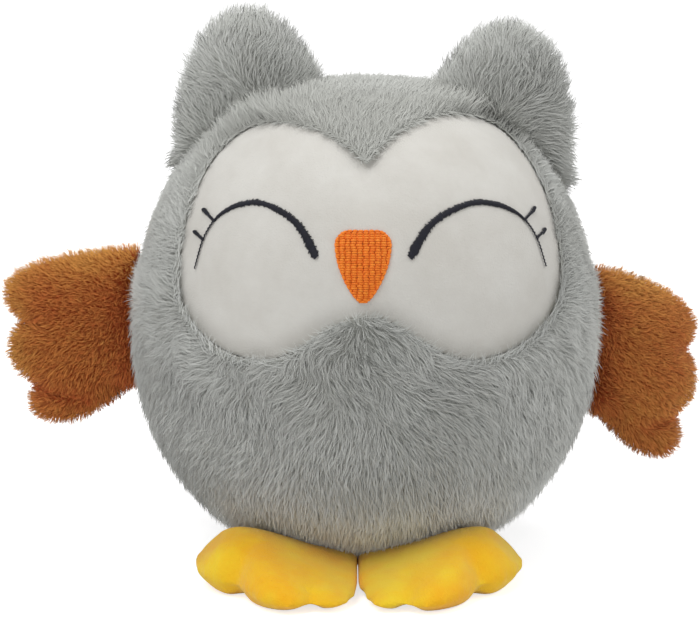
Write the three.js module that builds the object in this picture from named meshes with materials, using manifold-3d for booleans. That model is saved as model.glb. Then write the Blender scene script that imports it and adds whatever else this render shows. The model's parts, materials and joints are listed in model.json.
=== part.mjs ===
// Plush owl warmer: a ball-shaped soft toy whose back pocket holds a grain-filled heat pouch.
// Millimetres, +Z up. The face looks along -Y, left and right are the owl's own, and the origin is
// on the floor under the middle of the base. Plush sizes are measured to the tips of the pile.

import * as THREE from "three";
import { mergeVertices } from "three/addons/utils/BufferGeometryUtils.js";
import Module from "manifold-3d";

const wasm = await Module();
wasm.setup();

// Fabric thicknesses, with their pile, and the clearance between sewn pieces
const PILE = 6.5;
const FACE_PILE = 2.5;
const FACE_SINK = 4;
const WING_PILE = 4.5;
const FOOT_PILE = 2.2;
const LINING = 1.2;
const THREAD = 1.2;
const STRIP = 1.2;
const SEAM_GAP = 0.3;

// Body: a squarish ball, pressed flat where it sits
const BODY_HALF_WIDTH = 87;
const BODY_HALF_DEPTH = 80;
const BODY_HALF_HEIGHT = 92;
const BODY_SQUARENESS = 2.2;
const BASE_HALF_WIDTH = 35;
const BASE_LIP = 4;
const BROW_SPLIT = 38;
const BODY_AROUND = 32;
const BODY_UP = 13;

// Face: a heart of two lobes that differ a little, seen from the front. Cheeks, foreheads and the
// notch are measured in from the body's outline, the other heights up from the body's middle
const FACE_CHEEK = { left: 17.2, right: 20.7 };
const FACE_FOREHEAD = { left: 12.5, right: 14.5 };
const FACE_NOTCH = 25.8;
const FACE_LOBE_X = 28;
const FACE_SIDE_Z = 23;
const FACE_CHIN_X = 38;
const FACE_CHIN_Z = -1;
const FACE_PEAK_RISE = 17.5;
const FACE_PEAK_ROUND = 14;
const CURVE_HANDLE = 0.58;

// Beak: an embroidered shield above the peak of the chest
const BEAK_SHIFT = -1;
const BEAK_HALF_WIDTH = 9.9;
const BEAK_HEIGHT = 25;
const BEAK_CORNER = 3.7;
const BEAK_TIP = 2.2;
const BEAK_TIP_RISE = 1;
const BEAK_LIFT = 4.4;
const BEAK_FLANK = { high: 0.39, low: 0.79, pinch: 0.53 };

// Eyes: closed lids, each a tapered arc with two lashes
const EYE_BEAK_GAP = 6.8;
const EYE_CROWN = 39;
const EYE_TAIL_MARGIN = 6.1;
const EYE_TAIL_Z = 28;
const EYE_INNER_WIDTH = 3.4;
const EYE_TAIL_WIDTH = 0.8;
const LASH_WIDTH = 1;
const LASH_TIP_WIDTH = 1.8;

// Knots of a lid's arc, in shares of its span and of its rise above the tail, and the knots that
// the lashes grow from
const EYE_ARC = [
  [0, 0.36], [0.12, 0.7], [0.25, 0.885], [0.45, 1], [0.62, 0.95],
  [0.75, 0.83], [0.84, 0.68], [0.93, 0.41], [1, 0],
];
const LASH_KNOTS = [6, 7];
const LASH_LENGTHS = [5.2, 4.2];
const LASH_ANGLES = [35, 29];

// Ears: flat stuffed cones, placed from the body's sides and rolled a little to one side together
const EAR_INNER_MARGIN = 73;
const EAR_OUTER_MARGIN = 11.5;
const EAR_TIP_MARGIN = 38;
const EAR_RISE = 21.5;
const EAR_SHOULDER = 21.5;
const EAR_INNER_DROP = 29.5;
const EAR_ROOT_Z = 44;
const EAR_TIP_ROUND = 16;
const EAR_HALF_THICKNESS = 13;
const EAR_Y = 3;
const EAR_ROLL = 2.8;

// Wings: three-lobed pads sewn into the side seams, heights from the body's middle
const WING_HALF_ROOT = 25;
const WING_REACH = 47.5;
const WING_HALF_THICKNESS = 8.5;
const WING_Y = 8;
const WING_FORWARD = 45;
const WING_BACK = 50;
const WING_Z = { left: -7.5, right: -1.5 };
const WING_DROOP = { left: 0.2, right: 0.02 };
const WING_STRETCH = { left: 1.17, right: 1 };
const WING_SWEEP = { left: 30, right: 8 };

// Lobes of a wing: two handles and the end of each curve, in shares of its reach and its half root
const WING_LOBES = [
  [[0.53, 1.16], [1.3, 0.56], [0.87, -0.05]],
  [[1.07, -0.24], [1.05, -0.76], [0.79, -0.98]],
  [[0.97, -1.68], [0.46, -1.84], [0, -1]],
];

// Feet: domed pads with three toes, sewn under the belly
const FOOT_PAIR_GAP = 0.6;
const FOOT_SHIFT = -2.8;
const FOOT_WIDTH = 60;
const FOOT_LENGTH = 56;
const FOOT_HEEL_Z = 3;
const FOOT_HEIGHT = 18;
const FOOT_SEAM_Z = 11;
const FOOT_TILT = 15;

// Toes of a foot: two handles and the end of each curve, in shares of its width and its length
const FOOT_TOES = [
  [[0, 0.25], [0, 0.35], [0, 0.48]],
  [[0, 0.88], [0.13, 1.04], [0.275, 0.9]],
  [[0.36, 1.09], [0.62, 1.03], [0.74, 0.63]],
  [[0.9, 0.68], [1.12, 0.27], [0.93, 0.04]],
];

// Back pocket, its flap and the touch fastener that closes it
const FLAP_HALF_WIDTH = 46;
const FLAP_LENGTH = 64;
const FLAP_HINGE_Z = 14;
const FLAP_FLARE = 25;
const STRIP_HALF_WIDTH = 38;
const STRIP_HEIGHT = 11;
const STRIP_MARGIN = 2.5;

// Heat pouch: a cotton pillow full of grain, lying flat in the pocket
const POUCH_HALF_WIDTH = 42;
const POUCH_DEPTH = 82;
const POUCH_HALF_THICKNESS = 19.5;
const POUCH_CORNER = 30;
const POUCH_SETBACK = 12;
const POUCH_DROP = 27.5;
const POCKET_CLEARANCE = 0.5;

// Facets and fullness of the stuffed forms
const RING_LEVELS = [0.45, 0.8, 0.95];
const CURVE_STEPS = 6;
const FACE_STEPS = 14;
const THREAD_STEPS = 16;
const SOFT_FULLNESS = 0.7;
const LENS_FULLNESS = 1;
const DOME_FULLNESS = 0.5;

// Sizes that follow from the ones above
const BODY_Z = BODY_HALF_HEIGHT * taper(BASE_HALF_WIDTH / BODY_HALF_WIDTH);
const BODY_SIZE = 2 * (BODY_HALF_WIDTH + BODY_HALF_HEIGHT);
const PAST_ALL = [-BODY_SIZE, BODY_SIZE];
const STUFFING_INSET = PILE + SEAM_GAP;
const FACE_HALF_WIDTH = {
  left: BODY_HALF_WIDTH - FACE_CHEEK.left,
  right: BODY_HALF_WIDTH - FACE_CHEEK.right,
};
const FACE_TOP = {
  left: BODY_HALF_HEIGHT - FACE_FOREHEAD.left,
  right: BODY_HALF_HEIGHT - FACE_FOREHEAD.right,
};
const EAR_INNER_X = BODY_HALF_WIDTH - EAR_INNER_MARGIN;
const EAR_OUTER_X = BODY_HALF_WIDTH - EAR_OUTER_MARGIN;
const EAR_TIP_X = BODY_HALF_WIDTH - EAR_TIP_MARGIN;
const FLAP_HINGE = new THREE.Vector2(halfDepthAt(BODY_Z + FLAP_HINGE_Z), BODY_Z + FLAP_HINGE_Z);
const FLAP_BOTTOM_Z = FLAP_HINGE.y - FLAP_LENGTH;
const POUCH_Z = FLAP_HINGE.y - POUCH_DROP;
const POUCH_BACK_Y = BODY_HALF_DEPTH - PILE - POUCH_SETBACK;
const HOOK_INSET = PILE + SEAM_GAP;
const LOOP_INSET = HOOK_INSET + STRIP + SEAM_GAP;
const LIP_INSET = LOOP_INSET + STRIP + SEAM_GAP;
const SIDES = { left: 1, right: -1 };

// Colour, roughness and metalness of each fabric
const FINISH = {
  greyPlush: { color: 0x969894, roughness: 0.95, metalness: 0 },
  greyGusset: { color: 0x8a8c89, roughness: 0.95, metalness: 0 },
  palePlush: { color: 0xe1ded9, roughness: 0.9, metalness: 0 },
  brownPlush: { color: 0x91501f, roughness: 0.95, metalness: 0 },
  yellowPlush: { color: 0xf5c83c, roughness: 0.9, metalness: 0 },
  navyThread: { color: 0x1e1e2d, roughness: 0.6, metalness: 0 },
  orangeThread: { color: 0xeb7828, roughness: 0.55, metalness: 0 },
  fibre: { color: 0xf2f1ec, roughness: 1, metalness: 0 },
  lining: { color: 0x9a9b98, roughness: 0.9, metalness: 0 },
  fastener: { color: 0x6f716f, roughness: 0.8, metalness: 0 },
  cotton: { color: 0xe6ddc8, roughness: 0.9, metalness: 0 },
  grain: { color: 0xc79a5b, roughness: 0.8, metalness: 0 },
};

// What is left of the ball's half height, or of its girth, at a share of the other
function taper(share) {
  return Math.pow(1 - Math.pow(Math.min(Math.abs(share), 1), BODY_SQUARENESS), 1 / BODY_SQUARENESS);
}

// How far back the ball reaches at a height, on its middle line
function halfDepthAt(z) {
  return BODY_HALF_DEPTH * taper((z - BODY_Z) / BODY_HALF_HEIGHT);
}

// Closed geometry to solid, with shared corners welded and flat triangles left out
function solidOf(geometry) {
  const bare = new THREE.BufferGeometry();
  bare.setAttribute("position", geometry.getAttribute("position").clone());
  bare.setIndex(geometry.getIndex());
  const welded = mergeVertices(bare);
  const corners = welded.getIndex().array;
  const triangles = [];
  for (let i = 0; i < corners.length; i += 3) {
    const triangle = [corners[i], corners[i + 1], corners[i + 2]];
    if (new Set(triangle).size === triangle.length) triangles.push(...triangle);
  }
  const vertProperties = new Float32Array(welded.getAttribute("position").array);
  const triVerts = new Uint32Array(triangles);
  return new wasm.Manifold(new wasm.Mesh({ numProp: 3, vertProperties, triVerts }));
}

// Named mesh of a solid, with its own material
function part(name, solid, finish) {
  const { vertProperties, triVerts } = solid.getMesh();
  const geometry = new THREE.BufferGeometry();
  geometry.setAttribute("position", new THREE.BufferAttribute(vertProperties, 3));
  geometry.setIndex(new THREE.BufferAttribute(triVerts, 1));
  geometry.computeVertexNormals();
  const mesh = new THREE.Mesh(geometry, new THREE.MeshStandardMaterial(finish));
  mesh.name = name;
  return mesh;
}

// Group whose origin is the point that its meshes turn about
function pivotGroup(pivot, meshes) {
  const group = new THREE.Group();
  group.position.copy(pivot);
  for (const mesh of meshes) {
    mesh.geometry.translate(-pivot.x, -pivot.y, -pivot.z);
    group.add(mesh);
  }
  return group;
}

// Block between two corners, where a side left out reaches past the whole toy
function block({ x = PAST_ALL, y = PAST_ALL, z = PAST_ALL }) {
  const geometry = new THREE.BoxGeometry(x[1] - x[0], y[1] - y[0], z[1] - z[0]);
  geometry.translate((x[0] + x[1]) / 2, (y[0] + y[1]) / 2, (z[0] + z[1]) / 2);
  return solidOf(geometry);
}

// Geometry of the ball at a depth under the pile's tips, flat at its base
function ballGeometry(inset) {
  const halfHeight = BODY_HALF_HEIGHT - inset;
  const power = 2 / BODY_SQUARENESS;
  const lowest = -Math.asin(Math.pow((BODY_Z - inset) / halfHeight, 1 / power));
  const profile = [new THREE.Vector2(0, inset)];
  for (let step = 0; step < BODY_UP; step += 1) {
    const angle = THREE.MathUtils.lerp(lowest, Math.PI / 2, step / BODY_UP);
    const height = Math.sign(angle) * Math.pow(Math.abs(Math.sin(angle)), power) * halfHeight;
    profile.push(new THREE.Vector2(Math.pow(Math.cos(angle), power), BODY_Z + height));
  }
  profile.push(new THREE.Vector2(0, BODY_Z + halfHeight));
  const geometry = new THREE.LatheGeometry(profile, BODY_AROUND);
  geometry.rotateX(Math.PI / 2);
  geometry.scale(BODY_HALF_WIDTH - inset, BODY_HALF_DEPTH - inset, 1);
  return geometry;
}

// Skin of the ball between two depths
function ballShell(outerInset, innerInset) {
  return solidOf(ballGeometry(outerInset)).subtract(solidOf(ballGeometry(innerInset)));
}

// Solid of an outline that is drawn as seen from the front and pushed through the toy's front half
function frontPrism(shape, steps = CURVE_STEPS) {
  const geometry = new THREE.ExtrudeGeometry(shape, {
    depth: BODY_SIZE,
    bevelEnabled: false,
    curveSegments: steps,
  });
  geometry.rotateX(Math.PI / 2);
  geometry.translate(0, 0, BODY_Z);
  return solidOf(geometry);
}

// Points of a closed outline in counter-clockwise order, without its repeated last point
function outlinePoints(shape) {
  const points = shape.getPoints(CURVE_STEPS);
  if (points[0].distanceTo(points[points.length - 1]) < SEAM_GAP) points.pop();
  if (THREE.ShapeUtils.isClockWise(points)) points.reverse();
  return points;
}

// Stuffed form on an outline: rings shrink towards its middle while they rise to the crown
function pillowGeometry(points, { inset = 0, crown, sole, fullness }) {
  const middle = new THREE.Box2().setFromPoints(points).getCenter(new THREE.Vector2());
  let radius = 0;
  for (const point of points) radius += middle.distanceTo(point) / points.length;
  const rim = points.map((point) => middle.clone().lerp(point, 1 - inset / radius));
  const rings = [];
  for (const level of RING_LEVELS) rings.push([level, sole]);
  rings.push([1, 0]);
  for (const level of RING_LEVELS.toReversed()) rings.push([level, crown]);
  const positions = [middle.x, middle.y, sole];
  for (const [level, height] of rings) {
    const rise = height * Math.pow(1 - level * level, fullness);
    for (const point of rim) {
      const place = middle.clone().lerp(point, level);
      positions.push(place.x, place.y, rise);
    }
  }
  positions.push(middle.x, middle.y, crown);
  const count = rim.length;
  const last = rings.length * count + 1;
  const triangles = [];
  for (let i = 0; i < count; i += 1) {
    const next = (i + 1) % count;
    triangles.push(0, 1 + next, 1 + i);
    for (let ring = 0; ring < rings.length - 1; ring += 1) {
      const low = 1 + ring * count;
      const high = low + count;
      triangles.push(low + i, low + next, high + next);
      triangles.push(low + i, high + next, high + i);
    }
    triangles.push(last - count + i, last - count + next, last);
  }
  const geometry = new THREE.BufferGeometry();
  geometry.setAttribute("position", new THREE.Float32BufferAttribute(positions, 3));
  geometry.setIndex(triangles);
  return geometry;
}

// Shell halves and filling of a pad with plush on both faces, placed by a matrix
function paddedPieces(points, halfThickness, pile, fullness, placement) {
  const layer = (inset) => {
    const half = halfThickness - inset;
    const geometry = pillowGeometry(points, { inset, crown: half, sole: -half, fullness });
    return solidOf(geometry.applyMatrix4(placement));
  };
  const halfSpace = (from, to) => {
    const geometry = new THREE.BoxGeometry(BODY_SIZE, BODY_SIZE, to - from);
    geometry.translate(0, 0, (from + to) / 2);
    return solidOf(geometry.applyMatrix4(placement));
  };
  const shell = layer(0).subtract(layer(pile));
  return {
    front: shell.intersect(halfSpace(SEAM_GAP / 2, BODY_SIZE)),
    back: shell.intersect(halfSpace(-BODY_SIZE, -SEAM_GAP / 2)),
    stuffing: layer(pile + SEAM_GAP),
  };
}

// The ball, a seam's gap larger all round
function ballWithGap() {
  return ballGeometry(-SEAM_GAP);
}

// The ball as a limb meets it, at rest and at both ends of its turn about an axis through a pivot
function sweptBall(pivot, axis, limits) {
  let swept = solidOf(ballWithGap());
  for (const degrees of limits) {
    const turn = new THREE.Matrix4().makeRotationAxis(axis, -THREE.MathUtils.degToRad(degrees));
    const geometry = ballWithGap();
    geometry.translate(-pivot.x, -pivot.y, -pivot.z);
    geometry.applyMatrix4(turn);
    geometry.translate(pivot.x, pivot.y, pivot.z);
    swept = swept.add(solidOf(geometry));
  }
  return swept;
}

// Heart-shaped outline of the face, grown all round by a margin
function faceOutline(margin) {
  const chin = FACE_CHIN_Z - margin;
  const notch = BODY_HALF_HEIGHT - FACE_NOTCH + margin;
  const peak = FACE_CHIN_Z + FACE_PEAK_RISE - margin;
  const along = (from, to) => THREE.MathUtils.lerp(from, to, CURVE_HANDLE);
  const shape = new THREE.Shape();
  shape.moveTo(0, notch);
  for (const [side, sign] of Object.entries(SIDES)) {
    const top = FACE_TOP[side] + margin;
    const lobe = sign * FACE_LOBE_X;
    const cheek = sign * (FACE_HALF_WIDTH[side] + margin);
    const jowl = sign * FACE_CHIN_X;
    const mound = sign * FACE_PEAK_ROUND;
    const rising = () => {
      const quarter = lobe * (1 - CURVE_HANDLE) / 2;
      return [[quarter, along(notch, top)], [lobe * CURVE_HANDLE, top]];
    };
    const arcs = [
      [[0, notch], ...rising(), [lobe, top]],
      [[lobe, top], [along(lobe, cheek), top], [cheek, along(FACE_SIDE_Z, top)], [cheek, FACE_SIDE_Z]],
      [[cheek, FACE_SIDE_Z], [cheek, along(FACE_SIDE_Z, chin)], [along(jowl, cheek), chin], [jowl, chin]],
      [[jowl, chin], [along(jowl, mound), chin], [mound, peak], [0, peak]],
    ];
    const path = sign > 0 ? arcs : arcs.toReversed().map((arc) => arc.toReversed());
    for (const [, first, second, end] of path) shape.bezierCurveTo(...first, ...second, ...end);
  }
  return shape;
}

// Shield outline of the beak, its rounded tip just above the peak of the chest
function beakOutline() {
  const tip = FACE_CHIN_Z + FACE_PEAK_RISE + BEAK_LIFT;
  const top = tip + BEAK_HEIGHT;
  const shoulder = top - BEAK_CORNER;
  const jaw = tip + BEAK_TIP_RISE;
  const pinch = THREE.MathUtils.lerp(BEAK_HALF_WIDTH, BEAK_TIP, BEAK_FLANK.pinch);
  const high = THREE.MathUtils.lerp(shoulder, jaw, BEAK_FLANK.high);
  const low = THREE.MathUtils.lerp(shoulder, jaw, BEAK_FLANK.low);
  const shape = new THREE.Shape();
  shape.moveTo(BEAK_CORNER - BEAK_HALF_WIDTH, top);
  shape.lineTo(BEAK_HALF_WIDTH - BEAK_CORNER, top);
  shape.quadraticCurveTo(BEAK_HALF_WIDTH, top, BEAK_HALF_WIDTH, shoulder);
  shape.bezierCurveTo(BEAK_HALF_WIDTH, high, pinch, low, BEAK_TIP, jaw);
  shape.quadraticCurveTo(BEAK_TIP / 2, tip, 0, tip);
  shape.quadraticCurveTo(-BEAK_TIP / 2, tip, -BEAK_TIP, jaw);
  shape.bezierCurveTo(-pinch, low, -BEAK_HALF_WIDTH, high, -BEAK_HALF_WIDTH, shoulder);
  shape.quadraticCurveTo(-BEAK_HALF_WIDTH, top, BEAK_CORNER - BEAK_HALF_WIDTH, top);
  return shape;
}

// Band of stitching along a curve, tapered from one width to another
function stitchBand(curve, startWidth, endWidth, steps) {
  const rim = { over: [], under: [] };
  for (let step = 0; step <= steps; step += 1) {
    const share = step / steps;
    const place = curve.getPoint(share);
    const heading = curve.getTangent(share);
    const across = new THREE.Vector2(-heading.y, heading.x);
    const half = THREE.MathUtils.lerp(startWidth, endWidth, share) / 2;
    rim.over.push(place.clone().addScaledVector(across, half));
    rim.under.unshift(place.clone().addScaledVector(across, -half));
  }
  return new THREE.Shape([...rim.over, ...rim.under]);
}

// Closed eye on one side: an arc that thins towards its tail, and its lashes
function eyePrism(side) {
  const sign = SIDES[side];
  const inner = BEAK_SHIFT + sign * (BEAK_HALF_WIDTH + EYE_BEAK_GAP);
  const tail = sign * (FACE_HALF_WIDTH[side] - EYE_TAIL_MARGIN);
  const crown = BODY_HALF_HEIGHT - EYE_CROWN;
  const knots = EYE_ARC.map(([out, up]) => {
    const rise = THREE.MathUtils.lerp(EYE_TAIL_Z, crown, up);
    return new THREE.Vector2(THREE.MathUtils.lerp(inner, tail, out), rise);
  });
  const lid = new THREE.SplineCurve(knots);
  let eye = frontPrism(stitchBand(lid, EYE_INNER_WIDTH, EYE_TAIL_WIDTH, THREAD_STEPS));
  LASH_KNOTS.forEach((knot, index) => {
    const turn = THREE.MathUtils.degToRad(LASH_ANGLES[index]);
    const way = new THREE.Vector2(sign * Math.cos(turn), Math.sin(turn));
    const tip = knots[knot].clone().addScaledVector(way, LASH_LENGTHS[index]);
    const lash = new THREE.LineCurve(knots[knot], tip);
    eye = eye.add(frontPrism(stitchBand(lash, LASH_WIDTH, LASH_TIP_WIDTH, 1)));
  });
  return eye;
}

// Outline of an ear as seen from the front, running down inside the head
function earOutline(sign) {
  const tip = BODY_HALF_HEIGHT + EAR_RISE;
  const shape = new THREE.Shape();
  shape.moveTo(sign * EAR_INNER_X, EAR_ROOT_Z);
  shape.lineTo(sign * EAR_OUTER_X, EAR_ROOT_Z);
  shape.bezierCurveTo(
    sign * EAR_OUTER_X, tip - EAR_SHOULDER,
    sign * (EAR_TIP_X + EAR_TIP_ROUND), tip,
    sign * EAR_TIP_X, tip,
  );
  shape.bezierCurveTo(
    sign * (EAR_TIP_X - EAR_TIP_ROUND), tip,
    sign * (EAR_INNER_X + EAR_TIP_ROUND), tip - EAR_SHOULDER / 2,
    sign * EAR_INNER_X, tip - EAR_INNER_DROP,
  );
  shape.lineTo(sign * EAR_INNER_X, EAR_ROOT_Z);
  return shape;
}

// Outline that starts at a point and follows curves, each given by its two handles and its end
function curvedOutline(start, curves, place) {
  const shape = new THREE.Shape();
  shape.moveTo(...place(start));
  for (const [first, second, end] of curves) {
    shape.bezierCurveTo(...place(first), ...place(second), ...place(end));
  }
  shape.lineTo(...place(start));
  return shape;
}

// Outline of a wing, outward along X and up along Y, with three lobes at its end
function wingOutline(side) {
  return curvedOutline([0, 1], WING_LOBES, ([out, up]) => {
    const reach = out * WING_REACH;
    const rise = up * WING_HALF_ROOT * (up < 0 ? WING_STRETCH[side] : 1);
    return [SIDES[side] * reach, rise - reach * WING_DROOP[side]];
  });
}

// Outline of a foot seen from above, with three toes fanned outwards
function footOutline(sign) {
  const heel = -halfDepthAt(FOOT_HEEL_Z);
  return curvedOutline([0, 0], FOOT_TOES, ([out, forward]) => {
    const across = FOOT_SHIFT + sign * (FOOT_PAIR_GAP / 2 + out * FOOT_WIDTH);
    return [across, heel - forward * FOOT_LENGTH];
  });
}

// Sector about the flap's hinge line, as wide as the flap, less a clearance
function flapSector(clearance) {
  const centre = new THREE.Vector2(FLAP_HINGE.x, FLAP_HINGE.y - clearance);
  const shape = new THREE.Shape();
  const flare = THREE.MathUtils.degToRad(FLAP_FLARE);
  const radius = FLAP_LENGTH - 2 * clearance;
  shape.moveTo(centre.x, centre.y);
  shape.lineTo(centre.x - radius, centre.y);
  shape.absarc(centre.x, centre.y, radius, Math.PI, 1.5 * Math.PI + flare);
  const halfWidth = FLAP_HALF_WIDTH - clearance;
  const geometry = new THREE.ExtrudeGeometry(shape, {
    depth: 2 * halfWidth,
    bevelEnabled: false,
    curveSegments: 2 * CURVE_STEPS,
  });
  const turn = new THREE.Matrix4().makeBasis(
    new THREE.Vector3(0, 1, 0),
    new THREE.Vector3(0, 0, 1),
    new THREE.Vector3(1, 0, 0),
  );
  geometry.applyMatrix4(turn);
  geometry.translate(-halfWidth, 0, 0);
  return solidOf(geometry);
}

// Rounded rectangle of the pouch, seen from above
function pouchOutline() {
  const x = POUCH_HALF_WIDTH;
  const back = POUCH_BACK_Y;
  const front = POUCH_BACK_Y - POUCH_DEPTH;
  const shape = new THREE.Shape();
  shape.moveTo(x, front + POUCH_CORNER);
  shape.lineTo(x, back - POUCH_CORNER);
  shape.quadraticCurveTo(x, back, x - POUCH_CORNER, back);
  shape.lineTo(POUCH_CORNER - x, back);
  shape.quadraticCurveTo(-x, back, -x, back - POUCH_CORNER);
  shape.lineTo(-x, front + POUCH_CORNER);
  shape.quadraticCurveTo(-x, front, POUCH_CORNER - x, front);
  shape.lineTo(x - POUCH_CORNER, front);
  shape.quadraticCurveTo(x, front, x, front + POUCH_CORNER);
  return shape;
}

// Room of the pocket, grown by a margin, open to the back
function pocketRoom(margin) {
  const half = POUCH_HALF_WIDTH + POCKET_CLEARANCE + margin;
  const rise = POUCH_HALF_THICKNESS + POCKET_CLEARANCE + margin;
  const front = POUCH_BACK_Y - POUCH_DEPTH - POCKET_CLEARANCE - margin;
  return block({ x: [-half, half], y: [front, BODY_SIZE], z: [POUCH_Z - rise, POUCH_Z + rise] });
}

// Grey body panels, the pale face and the round gusset
function bodyPanels() {
  const plush = ballShell(0, PILE);
  const gussetGeometry = new THREE.CylinderGeometry(1, 1, BODY_Z, BODY_AROUND);
  gussetGeometry.rotateX(Math.PI / 2);
  const depthRatio = BODY_HALF_DEPTH / BODY_HALF_WIDTH;
  const gusset = (margin) => {
    const radius = BASE_HALF_WIDTH + BASE_LIP + margin;
    return solidOf(gussetGeometry.clone().scale(radius, radius * depthRatio, 1));
  };
  const sewn = plush.subtract(gusset(SEAM_GAP));
  const front = sewn.intersect(block({ y: [-BODY_SIZE, -SEAM_GAP / 2] }));
  const back = sewn.intersect(block({ y: [SEAM_GAP / 2, BODY_SIZE] }));
  const around = front.subtract(frontPrism(faceOutline(SEAM_GAP), FACE_STEPS));
  const over = (z) => block({ z: [z + SEAM_GAP / 2, BODY_SIZE] });
  const below = (z) => block({ z: [-BODY_SIZE, z - SEAM_GAP / 2] });
  const split = BODY_Z + BROW_SPLIT;
  const hinge = FLAP_HINGE.y;
  const lower = back.intersect(below(hinge));
  const heart = frontPrism(faceOutline(0), FACE_STEPS);
  const face = ballShell(FACE_SINK, FACE_SINK + FACE_PILE).intersect(heart);
  return [
    part("face_panel", face, FINISH.palePlush),
    part("brow_panel", around.intersect(over(split)), FINISH.greyPlush),
    part("belly_panel", around.intersect(below(split)), FINISH.greyPlush),
    part("back_upper_panel", back.intersect(over(hinge)), FINISH.greyPlush),
    part("back_lower_panel", lower.subtract(flapSector(0)), FINISH.greyPlush),
    part("base_panel", plush.intersect(gusset(0)), FINISH.greyGusset),
  ];
}

// Embroidery, a thread's thickness proud of the face
function embroidery() {
  const under = FACE_SINK - SEAM_GAP;
  const thread = ballShell(under - THREAD, under);
  const beak = frontPrism(beakOutline()).translate([BEAK_SHIFT, 0, 0]);
  return [
    part("beak", thread.intersect(beak), FINISH.orangeThread),
    part("left_eye", thread.intersect(eyePrism("left")), FINISH.navyThread),
    part("right_eye", thread.intersect(eyePrism("right")), FINISH.navyThread),
  ];
}

// Ears, rolled together about the body's middle and cut where they meet the head
function ears() {
  const head = solidOf(ballWithGap());
  const roll = new THREE.Matrix4().makeRotationY(THREE.MathUtils.degToRad(EAR_ROLL));
  const upright = new THREE.Matrix4().makeRotationX(Math.PI / 2);
  const placement = new THREE.Matrix4().makeTranslation(0, EAR_Y, BODY_Z).multiply(roll).multiply(upright);
  return Object.entries(SIDES).flatMap(([side, sign]) => {
    const points = outlinePoints(earOutline(sign));
    const pieces = paddedPieces(points, EAR_HALF_THICKNESS, PILE, SOFT_FULLNESS, placement);
    return [
      part(`${side}_ear_front`, pieces.front.subtract(head), FINISH.greyPlush),
      part(`${side}_ear_back`, pieces.back.subtract(head), FINISH.greyPlush),
      part(`${side}_ear_stuffing`, pieces.stuffing.subtract(head), FINISH.fibre),
    ];
  });
}

// Wing on one side, swung about its upright seam and clear of the body through its whole swing
function wing(side) {
  const sign = SIDES[side];
  const girth = BODY_HALF_WIDTH * Math.sqrt(1 - (WING_Y / BODY_HALF_DEPTH) ** 2);
  const flank = girth * Math.cos(Math.PI / BODY_AROUND);
  const pivot = new THREE.Vector3(sign * flank, WING_Y, BODY_Z + WING_Z[side]);
  const upright = new THREE.Matrix4().makeRotationX(Math.PI / 2);
  const sweep = new THREE.Matrix4().makeRotationZ(sign * THREE.MathUtils.degToRad(WING_SWEEP[side]));
  const placement = new THREE.Matrix4().setPosition(pivot).multiply(sweep).multiply(upright);
  const points = outlinePoints(wingOutline(side));
  const pieces = paddedPieces(points, WING_HALF_THICKNESS, WING_PILE, LENS_FULLNESS, placement);
  const axis = new THREE.Vector3(0, 0, sign);
  const rest = WING_SWEEP[side];
  const body = sweptBall(pivot, axis, [-WING_FORWARD - rest, WING_BACK - rest]);
  return pivotGroup(pivot, [
    part(`${side}_wing_front`, pieces.front.subtract(body), FINISH.brownPlush),
    part(`${side}_wing_back`, pieces.back.subtract(body), FINISH.brownPlush),
    part(`${side}_wing_stuffing`, pieces.stuffing.subtract(body), FINISH.fibre),
  ]);
}

// Foot on one side: a flat sole under a domed upper that tilts about its seam below the belly
function foot(side) {
  const sign = SIDES[side];
  const points = outlinePoints(footOutline(sign));
  const dome = (inset) => {
    const form = { inset, crown: FOOT_HEIGHT - inset, sole: 0, fullness: DOME_FULLNESS };
    return solidOf(pillowGeometry(points, form));
  };
  const pivot = new THREE.Vector3(0, -halfDepthAt(FOOT_SEAM_Z), FOOT_SEAM_Z);
  const body = sweptBall(pivot, new THREE.Vector3(-1, 0, 0), [FOOT_TILT]);
  const above = (z) => block({ z: [z, BODY_SIZE] });
  const sole = dome(0).intersect(block({ z: [-BODY_SIZE, FOOT_PILE] }));
  const upper = dome(0).intersect(above(FOOT_PILE + SEAM_GAP)).subtract(dome(FOOT_PILE));
  const stuffing = dome(FOOT_PILE + SEAM_GAP).intersect(above(FOOT_PILE + SEAM_GAP));
  return pivotGroup(pivot, [
    part(`${side}_foot_upper`, upper.subtract(body), FINISH.yellowPlush),
    part(`${side}_foot_sole`, sole.subtract(body), FINISH.yellowPlush),
    part(`${side}_foot_stuffing`, stuffing.subtract(body), FINISH.fibre),
  ]);
}

// Filling of the body, the lining of its pocket and the loop half of the fastener
function pocketPieces() {
  const stuffing = ballGeometry(STUFFING_INSET);
  const floor = POUCH_Z - POUCH_HALF_THICKNESS - POCKET_CLEARANCE;
  const recess = block({
    x: [-FLAP_HALF_WIDTH, FLAP_HALF_WIDTH],
    y: [0, BODY_SIZE],
    z: [FLAP_BOTTOM_Z, floor],
  });
  const lipBlock = block({
    x: [SEAM_GAP - FLAP_HALF_WIDTH, FLAP_HALF_WIDTH - SEAM_GAP],
    y: [0, BODY_SIZE],
    z: [FLAP_BOTTOM_Z + SEAM_GAP, floor],
  });
  const lip = ballShell(LIP_INSET, LIP_INSET + LINING).intersect(lipBlock);
  const bag = pocketRoom(LINING).subtract(pocketRoom(0)).intersect(solidOf(stuffing));
  const lipRoom = ballShell(STUFFING_INSET - SEAM_GAP, LIP_INSET + LINING + SEAM_GAP).intersect(recess);
  const lining = bag.subtract(ballShell(0, LIP_INSET).intersect(recess)).add(lip);
  const filling = solidOf(stuffing).subtract(pocketRoom(LINING + SEAM_GAP)).subtract(lipRoom);
  return [
    part("body_stuffing", filling, FINISH.fibre),
    part("pocket_lining", lining, FINISH.lining),
    part("loop_strip", fastenerStrip(LOOP_INSET), FINISH.fastener),
  ];
}

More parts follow.
